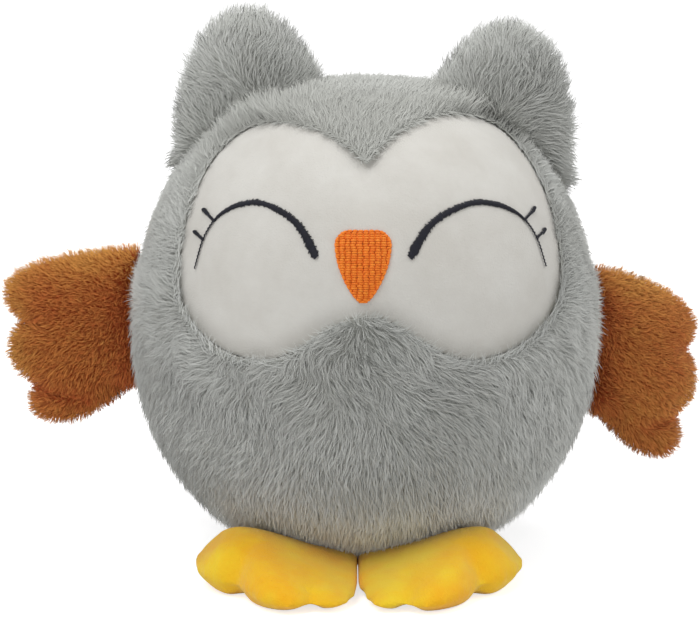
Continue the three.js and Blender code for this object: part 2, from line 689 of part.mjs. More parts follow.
// Half of the touch fastener, at a depth under the pile's tips
function fastenerStrip(inset) {
  const band = block({
    x: [-STRIP_HALF_WIDTH, STRIP_HALF_WIDTH],
    z: [FLAP_BOTTOM_Z, FLAP_BOTTOM_Z + STRIP_MARGIN + STRIP_HEIGHT],
  });
  return ballShell(inset, inset + STRIP).intersect(flapSector(STRIP_MARGIN)).intersect(band);
}

// Flap cut out of the back, hinged at its upper edge, with the hook half of the fastener
function pocketFlap() {
  const flap = ballShell(0, PILE).intersect(flapSector(SEAM_GAP));
  const pivot = new THREE.Vector3(0, FLAP_HINGE.x, FLAP_HINGE.y);
  return pivotGroup(pivot, [
    part("pocket_flap", flap, FINISH.greyPlush),
    part("hook_strip", fastenerStrip(HOOK_INSET), FINISH.fastener),
  ]);
}

// Heat pouch: two cotton panels round the grain
function heatPouch() {
  const placement = new THREE.Matrix4().makeTranslation(0, 0, POUCH_Z);
  const points = outlinePoints(pouchOutline());
  const pieces = paddedPieces(points, POUCH_HALF_THICKNESS, LINING, SOFT_FULLNESS, placement);
  const pivot = new THREE.Vector3(0, POUCH_BACK_Y, POUCH_Z);
  return pivotGroup(pivot, [
    part("pouch_upper_panel", pieces.front, FINISH.cotton),
    part("pouch_lower_panel", pieces.back, FINISH.cotton),
    part("pouch_grain", pieces.stuffing, FINISH.grain),
  ]);
}

const owl = new THREE.Group();
owl.add(...bodyPanels(), ...embroidery(), ...ears(), ...pocketPieces());
owl.add(pocketFlap(), heatPouch());
for (const side of Object.keys(SIDES)) owl.add(wing(side), foot(side));

export default owl;
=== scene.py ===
"""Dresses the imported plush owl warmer.

Combed grey and brown pile stands on stuffed skins. The face and feet are velour, the eyes and beak are
stitched, and the back pocket holds a cotton pouch of grain. Sizes are in millimetres until a mesh is
made. +Z is up, the face looks along -Y, and left and right are the owl's own.
"""

from __future__ import annotations

import json
import logging
import math
from collections.abc import Callable, Sequence
from dataclasses import dataclass, replace
from enum import Enum

import bpy
import numpy as np
from mathutils import Matrix, Vector, kdtree

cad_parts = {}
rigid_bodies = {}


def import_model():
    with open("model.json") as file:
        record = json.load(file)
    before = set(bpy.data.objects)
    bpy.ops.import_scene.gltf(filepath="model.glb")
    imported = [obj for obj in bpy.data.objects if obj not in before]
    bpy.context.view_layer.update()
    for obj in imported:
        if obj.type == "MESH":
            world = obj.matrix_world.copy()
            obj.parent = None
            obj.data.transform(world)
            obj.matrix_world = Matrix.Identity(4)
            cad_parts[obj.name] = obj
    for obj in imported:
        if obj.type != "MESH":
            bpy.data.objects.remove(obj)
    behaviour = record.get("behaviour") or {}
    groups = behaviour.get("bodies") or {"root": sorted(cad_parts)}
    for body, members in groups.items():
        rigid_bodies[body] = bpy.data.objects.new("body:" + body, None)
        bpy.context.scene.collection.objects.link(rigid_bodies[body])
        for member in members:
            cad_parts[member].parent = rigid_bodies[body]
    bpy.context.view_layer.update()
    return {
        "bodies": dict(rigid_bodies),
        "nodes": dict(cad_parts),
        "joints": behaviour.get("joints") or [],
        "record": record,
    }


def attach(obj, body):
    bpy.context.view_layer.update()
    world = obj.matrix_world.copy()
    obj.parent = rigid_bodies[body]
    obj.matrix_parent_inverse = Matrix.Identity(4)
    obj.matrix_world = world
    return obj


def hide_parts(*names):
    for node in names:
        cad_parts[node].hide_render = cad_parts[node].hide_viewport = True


LOG = logging.getLogger("plush_owl")
MM = 0.001
IMAGE_WIDTH = 700
SENSOR_WIDTH = 36.0
STRAND_MAP = "OFBake"
TONE_SPAN = (0.02, 0.98)
SMOOTH_ANGLE = 62.0

Array = np.ndarray
Amount = Array | float
Piece = bpy.types.Object
Tree = bpy.types.NodeTree
Socket = bpy.types.NodeSocket
Material = bpy.types.Material
Colour = tuple[float, float, float, float]
Field = Callable[[Array, Array], Array]


class Side(Enum):
    """One side of the owl, with the sign of its X."""

    LEFT = 1
    RIGHT = -1

    @property
    def word(self) -> str:
        """The side's name, as the part's nodes spell it."""
        return self.name.lower()


# Small helpers


def srgb(red: int, green: int, blue: int) -> Colour:
    """Turns a colour as seen on a screen into a linear one.

    Args:
        red: Red, from 0 to 255.
        green: Green, from 0 to 255.
        blue: Blue, from 0 to 255.

    Returns:
        The linear colour, with full alpha.
    """
    linear = [
        share / 12.92 if share <= 0.04045 else ((share + 0.055) / 1.055) ** 2.4
        for share in (red / 255, green / 255, blue / 255)
    ]
    return (linear[0], linear[1], linear[2], 1.0)


def unit(vectors: Array) -> Array:
    """Gives each vector a length of one."""
    return vectors / np.maximum(np.linalg.norm(vectors, axis=-1, keepdims=True), 1e-9)


def smooth_step(values: Array, low: float, high: float) -> Array:
    """Rises smoothly from 0 at low to 1 at high."""
    share = np.clip((values - low) / (high - low), 0, 1)
    return share * share * (3 - 2 * share)


def band(values: Array, *stops: float) -> Array:
    """Rises from 0 to 1 between the first two stops and falls back between the last two."""
    return smooth_step(values, *stops[:2]) * (1 - smooth_step(values, *stops[2:]))


def bezier(corners: Sequence[Sequence[float]], steps: int) -> Array:
    """Samples a cubic curve, without its last point.

    Args:
        corners: Start, two handles and end.
        steps: How many points are taken.

    Returns:
        The points, one row each.
    """
    start, first, second, end = (np.asarray(corner, float) for corner in corners)
    t = np.linspace(0, 1, steps, endpoint=False)[:, None]
    return (
        start * (1 - t) ** 3
        + first * 3 * t * (1 - t) ** 2
        + second * 3 * t**2 * (1 - t)
        + end * t**3
    )


def chain(start: Sequence[float], arcs: Sequence[Sequence[Sequence[float]]], steps: int) -> Array:
    """Samples cubic curves that follow one another.

    Args:
        start: Where the first one starts.
        arcs: Two handles and the end of each.
        steps: How many points are taken on each.

    Returns:
        The points, without the last end.
    """
    rows = []
    for first, second, end in arcs:
        rows.append(bezier([start, first, second, end], steps))
        start = end
    return np.vstack(rows)


def run_of(line: Array) -> Array:
    """Distance along a line at each of its points."""
    return np.concatenate([[0], np.cumsum(np.linalg.norm(np.diff(line, axis=0), axis=1))])


def along_line(line: Array, marks: Array) -> Array:
    """Points of a flat line at distances along it."""
    run = run_of(line)
    return np.column_stack([np.interp(marks, run, line[:, axis]) for axis in (0, 1)])


def spline(knots: Array, steps: int) -> Array:
    """Follows a smooth line through knots.

    Args:
        knots: The places that it passes through.
        steps: Points from each knot to the next.

    Returns:
        Points along the line, with both ends.
    """
    padded = np.vstack([2 * knots[0] - knots[1], knots, 2 * knots[-1] - knots[-2]])
    share = np.linspace(0, 1, steps, endpoint=False)[:, None]
    rows = []
    for before, start, end, after in zip(padded, padded[1:], padded[2:], padded[3:]):
        first, second = (end - before) / 2, (after - start) / 2
        curve = 2 * (start - end) + first + second
        bow = 3 * (end - start) - 2 * first - second
        rows.append(((curve * share + bow) * share + first) * share + start)
    return np.vstack([*rows, knots[-1:]])


def ripple(points: Array, pitch: float, seed: int) -> Array:
    """Smooth noise without a texture: a few crossed waves.

    Args:
        points: Places, one row each.
        pitch: Rough distance between two crests.
        seed: Picks the waves.

    Returns:
        A value of about -1 to 1 for each place.
    """
    rng = np.random.default_rng(seed)
    total = np.zeros(len(points))
    for _ in range(6):
        wave = unit(rng.normal(size=(1, 3)))[0] * (2 * math.pi / pitch) * rng.uniform(0.6, 1.5)
        total += np.sin(points @ wave + rng.uniform(0, 2 * math.pi))
    return total / 2.6


def clip_tone(tone: Array) -> Array:
    """Keeps strands' tones on their map."""
    return np.clip(tone, *TONE_SPAN)


def primitive(name: str, add: Callable[..., object], **settings: object) -> Piece:
    """Adds a primitive, with nothing else selected.

    Args:
        name: The new piece's name.
        add: The operator that adds it.
        **settings: The operator's settings.

    Returns:
        The new piece.
    """
    bpy.ops.object.select_all(action="DESELECT")
    add(**settings)
    bpy.context.object.name = name
    return bpy.context.object


def place_object(name: str, data: bpy.types.ID) -> Piece:
    """Puts an object in the scene, at the origin."""
    made = bpy.data.objects.new(name, data)
    bpy.context.scene.collection.objects.link(made)
    return made


def activate(piece: Piece) -> None:
    """Selects a piece alone and makes it the active one."""
    bpy.ops.object.select_all(action="DESELECT")
    piece.select_set(True)
    bpy.context.view_layer.objects.active = piece


def apply_modifier(piece: Piece, kind: str, **settings: object) -> None:
    """Adds a modifier to a piece, sets it and applies it.

    Args:
        piece: What it shapes.
        kind: The modifier's type.
        **settings: Its properties.
    """
    activate(piece)
    modifier = piece.modifiers.new(kind.title(), kind)
    for key, value in settings.items():
        setattr(modifier, key, value)
    bpy.ops.object.modifier_apply(modifier=modifier.name)


def points_of(piece: Piece) -> Array:
    """Reads a piece's corners, in millimetres."""
    flat = np.empty(len(piece.data.vertices) * 3, np.float32)
    piece.data.vertices.foreach_get("co", flat)
    return flat.reshape(-1, 3).astype(float) / MM


def move_points(piece: Piece, points: Array) -> None:
    """Moves a piece's corners to places in millimetres."""
    piece.data.vertices.foreach_set("co", (points * MM).astype(np.float32).ravel())
    piece.data.update()


def mesh_piece(name: str, points: Array, faces: Sequence[Sequence[int]]) -> Piece:
    """Makes a mesh object from corners and faces, with its faces turned outwards.

    Args:
        name: The piece's name.
        points: Corners, in millimetres.
        faces: Corner numbers of each face.

    Returns:
        The new object.
    """
    mesh = bpy.data.meshes.new(name)
    mesh.from_pydata((points * MM).tolist(), [], [list(face) for face in faces])
    piece = place_object(name, mesh)
    close_mesh(piece)
    return piece


def close_mesh(piece: Piece) -> None:
    """Merges a mesh's doubled corners and turns its faces outwards."""
    activate(piece)
    bpy.ops.object.mode_set(mode="EDIT")
    bpy.ops.mesh.select_all(action="SELECT")
    bpy.ops.mesh.remove_doubles(threshold=1e-6)
    bpy.ops.mesh.normals_make_consistent(inside=False)
    bpy.ops.object.mode_set(mode="OBJECT")


def cut(piece: Piece, cutter: Piece, operation: str) -> None:
    """Cuts a piece with another, which is used up.

    Args:
        piece: What is cut.
        cutter: What cuts it.
        operation: INTERSECT or DIFFERENCE.
    """
    apply_modifier(piece, "BOOLEAN", operation=operation, solver="EXACT", object=cutter)
    bpy.data.objects.remove(cutter)


# Finishes


def wire(tree: Tree, kind: str, inputs: dict | None = None, **settings: object) -> bpy.types.Node:
    """Adds a node to a tree.

    Args:
        tree: Where it goes.
        kind: The node's type.
        inputs: A socket or a plain value for each input, by its name or number.
        **settings: The node's own properties, which are set first.

    Returns:
        The node.
    """
    node = tree.nodes.new(kind)
    for key, value in settings.items():
        setattr(node, key, value)
    for key, value in (inputs or {}).items():
        if isinstance(value, Socket):
            tree.links.new(value, node.inputs[key])
        else:
            node.inputs[key].default_value = value
    return node


class Shader:
    """A material and the nodes being added to it."""

    def __init__(self, name: str, plain: dict[str, float | Colour]) -> None:
        """Starts a material with one Principled shader and the values that are the same all over."""
        self.material = bpy.data.materials.new(name)
        self.material.use_nodes = True
        self.tree = self.material.node_tree
        self.surface = self.tree.nodes["Principled BSDF"]
        for label, value in plain.items():
            self.surface.inputs[label].default_value = value

    def place(self) -> Socket:
        """Reads the piece's own coordinates."""
        return wire(self.tree, "ShaderNodeTexCoord").outputs["Object"]

    def group(self, tree: Tree, **inputs: object) -> Socket:
        """Places a node group, with values or sockets on its inputs, and gives what it puts out."""
        named = {key.capitalize(): value for key, value in inputs.items()}
        return wire(self.tree, "ShaderNodeGroup", named, node_tree=tree).outputs[0]

    def bump(self, height: Socket, strength: float, distance: float) -> None:
        """Raises the surface by a height, in metres at full strength."""
        values = {"Strength": strength, "Distance": distance, "Height": height}
        self.feed(wire(self.tree, "ShaderNodeBump", values).outputs["Normal"], "Normal")

    def feed(self, source: Socket, target: str) -> None:
        """Links a socket to one of the surface's own."""
        self.tree.links.new(source, self.surface.inputs[target])


class GroupMaker:
    """Builds the node groups that more than one finish uses."""

    def __init__(self) -> None:
        """Makes every group once."""
        self.strand = self._strand()
        self.mottle = self._mottle()
        self.nap = self._nap()
        self.weave = self._weave()

    @staticmethod
    def _start(name: str, inputs: dict[str, str], output: str, kind: str) -> tuple[Tree, dict, dict]:
        """Starts a group with named sockets.

        Args:
            name: The group's name.
            inputs: Type of each input, by its name.
            output: Name of what it puts out.
            kind: Type of what it puts out.

        Returns:
            The tree, what it is given and what it puts out.
        """
        tree = bpy.data.node_groups.new(name, "ShaderNodeTree")
        for label, sort in inputs.items():
            tree.interface.new_socket(label, in_out="INPUT", socket_type=f"NodeSocket{sort}")
        tree.interface.new_socket(output, in_out="OUTPUT", socket_type=f"NodeSocket{kind}")
        return tree, wire(tree, "NodeGroupInput").outputs, wire(tree, "NodeGroupOutput").inputs

    @staticmethod
    def _mix(tree: Tree, factor: Socket, low: Socket, high: Socket) -> Socket:
        """Mixes two colours."""
        mix = wire(tree, "ShaderNodeMix", {"Factor": factor, "A": low, "B": high}, data_type="RGBA")
        return next(socket for socket in mix.outputs if socket.type == "RGBA")

    @staticmethod
    def _noise(tree: Tree, place: Socket, scale: Socket, detail: float, roughness: float = 0.5) -> Socket:
        """Adds a noise and gives its value."""
        inputs = {"Vector": place, "Scale": scale, "Detail": detail, "Roughness": roughness}
        return wire(tree, "ShaderNodeTexNoise", inputs).outputs["Fac"]

    @staticmethod
    def _sum(tree: Tree, total: Socket, *others: Socket) -> Socket:
        """Adds values up."""
        for other in others:
            total = wire(tree, "ShaderNodeMath", {0: total, 1: other}, operation="ADD").outputs["Value"]
        return total

    def _strand(self) -> Tree:
        """Colour of a strand: its tone runs along U, and painted shade at the root gives way to the tone
        along V.
        """
        inputs = {"Place": "Vector", "Root": "Color", "Deep": "Color", "Light": "Color"}
        tree, given, result = self._start("strand_colour", inputs, "Color", "Color")
        split = wire(tree, "ShaderNodeSeparateXYZ", {"Vector": given["Place"]}).outputs
        tone = self._mix(tree, split["X"], given["Deep"], given["Light"])
        # Painted shade: the root colour fades into the tone towards the tip.
        rise = wire(tree, "ShaderNodeMath", {0: split["Y"], 1: 0.6}, operation="POWER").outputs["Value"]
        tree.links.new(self._mix(tree, rise, given["Root"], tone), result["Color"])
        return tree

    def _mottle(self) -> Tree:
        """Soft patches of a second colour, as a short nap shows where it is brushed."""
        inputs = {"Place": "Vector", "Scale": "Float", "Colour": "Color", "Shade": "Color"}
        tree, given, result = self._start("brushed_mottle", inputs, "Color", "Color")
        noise = self._noise(tree, given["Place"], given["Scale"], 5, 0.62)
        patches = wire(tree, "ShaderNodeMapRange", {"Value": noise, "From Min": 0.36, "From Max": 0.66})
        mixed = self._mix(tree, patches.outputs["Result"], given["Shade"], given["Colour"])
        tree.links.new(mixed, result["Color"])
        return tree

    def _nap(self) -> Tree:
        """Height of a short dense nap: fine grain over slow swells."""
        inputs = {"Place": "Vector", "Grain": "Float", "Swell": "Float"}
        tree, given, result = self._start("short_nap", inputs, "Height", "Float")
        layers = (("Grain", 3), ("Swell", 1))
        heights = [self._noise(tree, given["Place"], given[label], detail) for label, detail in layers]
        tree.links.new(self._sum(tree, *heights), result["Height"])
        return tree

    def _weave(self) -> Tree:
        """Height of a plain weave: crossed bands along the three axes."""
        inputs = {"Place": "Vector", "Scale": "Float"}
        tree, given, result = self._start("plain_weave", inputs, "Height", "Float")
        wave = {"Vector": given["Place"], "Scale": given["Scale"], "Distortion": 0.6}
        crossed = [wire(tree, "ShaderNodeTexWave", wave, bands_direction=axis) for axis in "XYZ"]
        tree.links.new(self._sum(tree, *(node.outputs["Fac"] for node in crossed)), result["Height"])
        return tree


@dataclass(frozen=True)
class PileFinish:
    """Strands that vary from one to the next, with painted shade that darkens them towards their roots."""

    name: str
    # Painted shade at the roots.
    root: Colour
    deep: Colour
    light: Colour
    roughness: float = 0.75
    sheen: float = 0.15

    def material(self, groups: GroupMaker) -> Material:
        """Builds the material, which reads each strand's own map."""
        plain = {"Roughness": self.roughness, "Sheen Weight": self.sheen, "Specular IOR Level": 0.25}
        shader = Shader(self.name, plain)
        place = wire(shader.tree, "ShaderNodeUVMap", uv_map=STRAND_MAP).outputs["UV"]
        colour = shader.group(groups.strand, place=place, root=self.root, deep=self.deep, light=self.light)
        shader.feed(colour, "Base Color")
        return shader.material


@dataclass(frozen=True)
class VelourFinish:
    """A short dense nap with brushed patches."""

    name: str
    colour: Colour
    shade: Colour
    patch: float = 45.0
    grain: float = 1500.0
    depth: float = 0.0005
    sheen: float = 0.25

    def material(self, groups: GroupMaker) -> Material:
        """Builds the material on the piece's own coordinates."""
        plain = {"Roughness": 0.9, "Sheen Weight": self.sheen, "Specular IOR Level": 0.2}
        shader = Shader(self.name, plain)
        place = shader.place()
        patches = {"scale": self.patch, "colour": self.colour, "shade": self.shade}
        shader.feed(shader.group(groups.mottle, place=place, **patches), "Base Color")
        nap = shader.group(groups.nap, place=place, grain=self.grain, swell=self.patch * 3)
        shader.bump(nap, 0.55, self.depth)
        return shader.material


@dataclass(frozen=True)
class WovenFinish:
    """A plain woven cloth with a slight unevenness of colour."""

    name: str
    colour: Colour
    shade: Colour
    threads: float = 260.0
    depth: float = 0.0004

    def material(self, groups: GroupMaker) -> Material:
        """Builds the material on the piece's own coordinates."""
        shader = Shader(self.name, {"Roughness": 0.85, "Sheen Weight": 0.1})
        place = shader.place()
        patches = {"scale": 70.0, "colour": self.colour, "shade": self.shade}
        shader.feed(shader.group(groups.mottle, place=place, **patches), "Base Color")
        shader.bump(shader.group(groups.weave, place=place, scale=self.threads), 0.5, self.depth)
        return shader.material


# The first colour of each pile and thread finish is painted shade, at a strand's root or a stitch's ends.
GREY_PILE = PileFinish("grey_pile", srgb(178, 179, 173), srgb(192, 193, 187), srgb(240, 242, 238))
BROWN_PILE = PileFinish("brown_pile", srgb(150, 62, 30), srgb(222, 103, 54), srgb(255, 190, 94))
GREY_SKIN = VelourFinish("grey_backing", srgb(184, 185, 178), srgb(170, 171, 164))
BROWN_SKIN = VelourFinish("brown_backing", srgb(176, 84, 38), srgb(150, 66, 30))
FACE_VELOUR = VelourFinish("face_velour", srgb(218, 216, 210), srgb(207, 204, 197), 38.0, depth=0.0003)
FOOT_VELOUR = VelourFinish("foot_velour", srgb(255, 216, 46), srgb(255, 188, 26), 42.0, depth=0.0009)
BASE_NAP = VelourFinish("base_nap", srgb(180, 182, 176), srgb(164, 166, 160))
EYE_THREAD = PileFinish("eye_thread", srgb(10, 10, 15), srgb(14, 15, 23), srgb(22, 23, 36), 0.55, 0.0)
BEAK_THREAD = PileFinish("beak_thread", srgb(212, 90, 20), srgb(244, 120, 28), srgb(255, 150, 46), 0.5, 0.1)
LINING_CLOTH = WovenFinish("lining_cloth", srgb(152, 154, 152), srgb(136, 138, 136))
POUCH_COTTON = WovenFinish("pouch_cotton", srgb(230, 222, 202), srgb(218, 208, 184))
FASTENER_TAPE = WovenFinish("fastener_tape", srgb(118, 120, 119), srgb(100, 102, 101), threads=420.0)
FASTENER_PILE = PileFinish("fastener_pile", srgb(92, 94, 93), srgb(112, 114, 113), srgb(138, 140, 139))
Finish = PileFinish | VelourFinish | WovenFinish

# Shapes that the sub-assemblies share


@dataclass(frozen=True)
class Ball:
    """The body's squarish ball, measured to the tips of its pile."""

    half_width: float = 87.0
    half_depth: float = 80.0
    half_height: float = 92.0
    squareness: float = 2.2
    middle: float = 86.135

    @property
    def halves(self) -> Array:
        """Half sizes along X, Y and Z."""
        return np.array([self.half_width, self.half_depth, self.half_height])

    def _scaled(self, points: Array, inset: float) -> Array:
        """Places in shares of the ball's half sizes."""
        return (points - [0, 0, self.middle]) / (self.halves - inset)

    def level(self, points: Array, inset: float = 0.0) -> Array:
        """Share of the way from the middle to the surface, which is 1."""
        share = np.abs(self._scaled(points, inset))
        girth = np.hypot(share[:, 0], share[:, 1])
        return (girth**self.squareness + share[:, 2] ** self.squareness) ** (1 / self.squareness)

    def normals(self, points: Array) -> Array:
        """Outward directions at places near the surface."""
        share = self._scaled(points, 0.0)
        girth = np.maximum(np.hypot(share[:, 0], share[:, 1]), 1e-6)
        lift = np.sign(share[:, 2]) * np.abs(share[:, 2]) ** (self.squareness - 1)
        flat = share[:, :2] * girth[:, None] ** (self.squareness - 2)
        return unit(np.column_stack([flat, lift]) / self.halves)

    def onto(self, points: Array, inset: float) -> Array:
        """Moves places straight out from the middle to the surface at a depth."""
        centre = np.array([0, 0, self.middle])
        return centre + (points - centre) / self.level(points, inset)[:, None]

    def push_out(self, points: Array, inset: float) -> Array:
        """Moves the places that lie inside the surface at a depth out to it."""
        inside = self.level(points, inset) < 1
        moved = points.copy()
        moved[inside] = self.onto(points[inside], inset)
        return moved

    def beyond(self, inset: float, level: float) -> Field:
        """Makes the test of which faces lie clear of the surface at a depth."""
        return lambda middles, _: self.level(middles, inset) > level

    def front(self, x: Array, z: Array, inset: Amount) -> Array:
        """Y of the front surface at a depth."""
        height = np.minimum(np.abs(z - self.middle) / (self.half_height - inset), 1)
        girth = (1 - height**self.squareness) ** (1 / self.squareness)
        across = x / (self.half_width - inset)
        return -(self.half_depth - inset) * np.sqrt(np.maximum(girth**2 - across**2, 1e-4))

    def skin(self, name: str, inset: float, thickness: float) -> Piece:
        """Makes a smooth closed skin, flat where it sits.

        Args:
            name: The piece's name.
            inset: Depth of its outer wall under the pile's tips.
            thickness: How thick it is, or 0 for a solid ball.

        Returns:
            The new piece.
        """
        add = bpy.ops.mesh.primitive_uv_sphere_add
        piece = primitive(name, add, segments=96, ring_count=60, radius=1)
        round_points = points_of(piece) * MM
        points = self.onto(round_points * (self.halves - inset) + [0, 0, self.middle], inset)
        points[:, 2] = np.maximum(points[:, 2], inset)
        move_points(piece, points)
        if thickness > 0:
            apply_modifier(piece, "SOLIDIFY", thickness=thickness * MM, offset=-1)
        return piece


@dataclass
class Outline:
    """A closed outline on a plane."""

    points: Array

    @property
    def middle(self) -> Array:
        """Middle of its box."""
        return (self.points.min(0) + self.points.max(0)) / 2

    def signed_distance(self, places: Array) -> Array:
        """Distance of places on its plane from the outline, below 0 inside."""
        best = np.full(len(places), np.inf)
        inside = np.zeros(len(places), bool)
        for corner, edge in zip(self.points, np.roll(self.points, -1, axis=0) - self.points):
            share = np.clip((places - corner) @ edge / max(edge @ edge, 1e-12), 0, 1)
            foot = corner + share[:, None] * edge
            best = np.minimum(best, np.linalg.norm(places - foot, axis=1))
            crosses = (corner[1] > places[:, 1]) != (corner[1] + edge[1] > places[:, 1])
            if abs(edge[1]) > 1e-12:
                crossing = corner[0] + (places[:, 1] - corner[1]) / edge[1] * edge[0]
                inside ^= crosses & (places[:, 0] < crossing)
        return np.where(inside, -best, best)

    def span(self, axis: int, level: float) -> tuple[float, float]:
        """Finds where a straight line across the outline enters and leaves it.

        Args:
            axis: The axis that the level is measured on.
            level: Where the line is.

        Returns:
            The two places on the other axis.
        """
        after = np.roll(self.points, -1, axis=0)
        crosses = (self.points[:, axis] > level) != (after[:, axis] > level)
        near, far = self.points[crosses], after[crosses]
        share = (level - near[:, axis]) / (far[:, axis] - near[:, axis])
        places = near[:, 1 - axis] + share * (far[:, 1 - axis] - near[:, 1 - axis])
        return float(places.min()), float(places.max())

    def even(self, pitch: float) -> Array:
        """Points at an even pitch along the outline."""
        line = np.vstack([self.points, self.points[:1]])
        length = run_of(line)[-1]
        return along_line(line, np.linspace(0, length, int(length / pitch), endpoint=False))

    def prism(self, depth: float) -> Piece:
        """Makes a cutter of the outline, seen from the front and pushed through the front half."""
        count = len(self.points)
        near = np.column_stack([self.points[:, 0], np.full(count, -depth), self.points[:, 1]])
        far = near * [1, 0, 1]
        sides = [[i, (i + 1) % count, count + (i + 1) % count, count + i] for i in range(count)]
        caps = [list(range(count)), list(range(count, 2 * count))]
        return mesh_piece("cutter", np.vstack([near, far]), sides + caps)


@dataclass(frozen=True)
class Crease:
    """A line that a seam or a fold presses into a pad, from one place to another."""

    start: Array
    end: Array
    depth: float
    width: float

    def reach(self, places: Array) -> tuple[Array, Array]:
        """Distance of places from the crease, and their share of its run."""
        run = self.end - self.start
        share = np.clip((places - self.start) @ run / (run @ run), 0, 1)
        return np.linalg.norm(places - self.start - share[:, None] * run, axis=1), share


@dataclass
class StuffedPad:
    """A pad sewn from two flat pieces and stuffed, made flat and then placed.

    The cloth solver blows it up from a slightly smaller form, and the seams press in afterwards.
    """

    CLOTH = {
        "use_pressure": True,
        "uniform_pressure_force": 4,
        "mass": 0.02,
        "tension_stiffness": 5,
        "compression_stiffness": 5,
        "bending_stiffness": 0.05,
    }
    FRAMES = 20

    name: str
    outline: Outline
    crown: float
    sole: float
    fullness: float
    placement: Matrix
    voxel: float = 2.6
    swell: float = 1.6
    creases: Sequence[Crease] = ()

    def _blank(self) -> Piece:
        """Rings that shrink towards the middle as they rise to the crown, on both faces."""
        levels = np.cos(np.linspace(0, math.pi / 2, 9))[:-1]
        rim, middle = self.outline.points, self.outline.middle
        rings = [(level, -1) for level in levels[:0:-1]] + [(level, 1) for level in levels]
        rows = [np.append(middle, -self.sole)]
        for level, way in rings:
            rise = (self.crown if way > 0 else -self.sole) * (1 - level**2) ** self.fullness
            flat = middle + (rim - middle) * level
            rows.extend(np.column_stack([flat, np.full(len(rim), rise)]))
        rows.append(np.append(middle, self.crown))
        count, last = len(rim), len(rings) * len(rim) + 1
        faces: list[list[int]] = []
        for i in range(count):
            step = (i + 1) % count
            faces.append([0, 1 + step, 1 + i])
            for ring in range(len(rings) - 1):
                low = 1 + ring * count
                faces.append([low + i, low + step, low + count + step, low + count + i])
            faces.append([last - count + i, last - count + step, last])
        return mesh_piece(self.name, np.array(rows), faces)

    def _stuff(self, piece: Piece) -> None:
        """Blows the pad up with the cloth solver and caps how far a point moves."""
        start = points_of(piece)
        cloth = piece.modifiers.new("Stuffing", "CLOTH")
        for key, value in self.CLOTH.items():
            setattr(cloth.settings, key, value)
        cloth.settings.effector_weights.gravity = 0
        cloth.point_cache.frame_end = self.FRAMES
        for frame in range(1, self.FRAMES + 1):
            bpy.context.scene.frame_set(frame)
        activate(piece)
        bpy.ops.object.modifier_apply(modifier=cloth.name)
        bpy.context.scene.frame_set(1)
        moved = points_of(piece) - start
        far = np.linalg.norm(moved, axis=1, keepdims=True)
        LOG.info("%s: the stuffing moved it %.2f mm at most", self.name, far.max())
        move_points(piece, start + moved * np.minimum(1, self.swell / np.maximum(far, 1e-6)))

    def _press(self, piece: Piece) -> None:
        """Presses the creases into both faces."""
        points = points_of(piece)
        for crease in self.creases:
            gap, share = crease.reach(points[:, :2])
            press = crease.depth * np.exp(-((gap / crease.width) ** 2)) * (1 - share**2)
            shrink = np.minimum(press, np.abs(points[:, 2]) * 0.8)
            points[:, 2] -= np.sign(points[:, 2]) * shrink
        move_points(piece, points)

    def make(self) -> Piece:
        """Builds the pad and puts it in its place.

        Returns:
            The stuffed form, with its place in its mesh.
        """
        piece = self._blank()
        apply_modifier(piece, "REMESH", mode="VOXEL", voxel_size=self.voxel * MM)
        self._stuff(piece)
        apply_modifier(piece, "SUBSURF", levels=1, render_levels=1)
        self._press(piece)
        placed = points_of(piece) * MM
        turned = np.array(self.placement.to_3x3()) @ placed.T
        move_points(piece, turned.T / MM + np.array(self.placement.translation))
        return piece


@dataclass(frozen=True)
class Pile:
    """How a pile grows: its strands' size, how they lean, and how they gather into tufts.

    Long strands with a bend stand among more and shorter straight ones.
    """

    length: float
    width: float
    density: float
    lean: float
    tuft: float = 3.6
    gather: float = 0.3
    swirl: float = 0.3
    wild: float = 0.16
    straight: bool = False


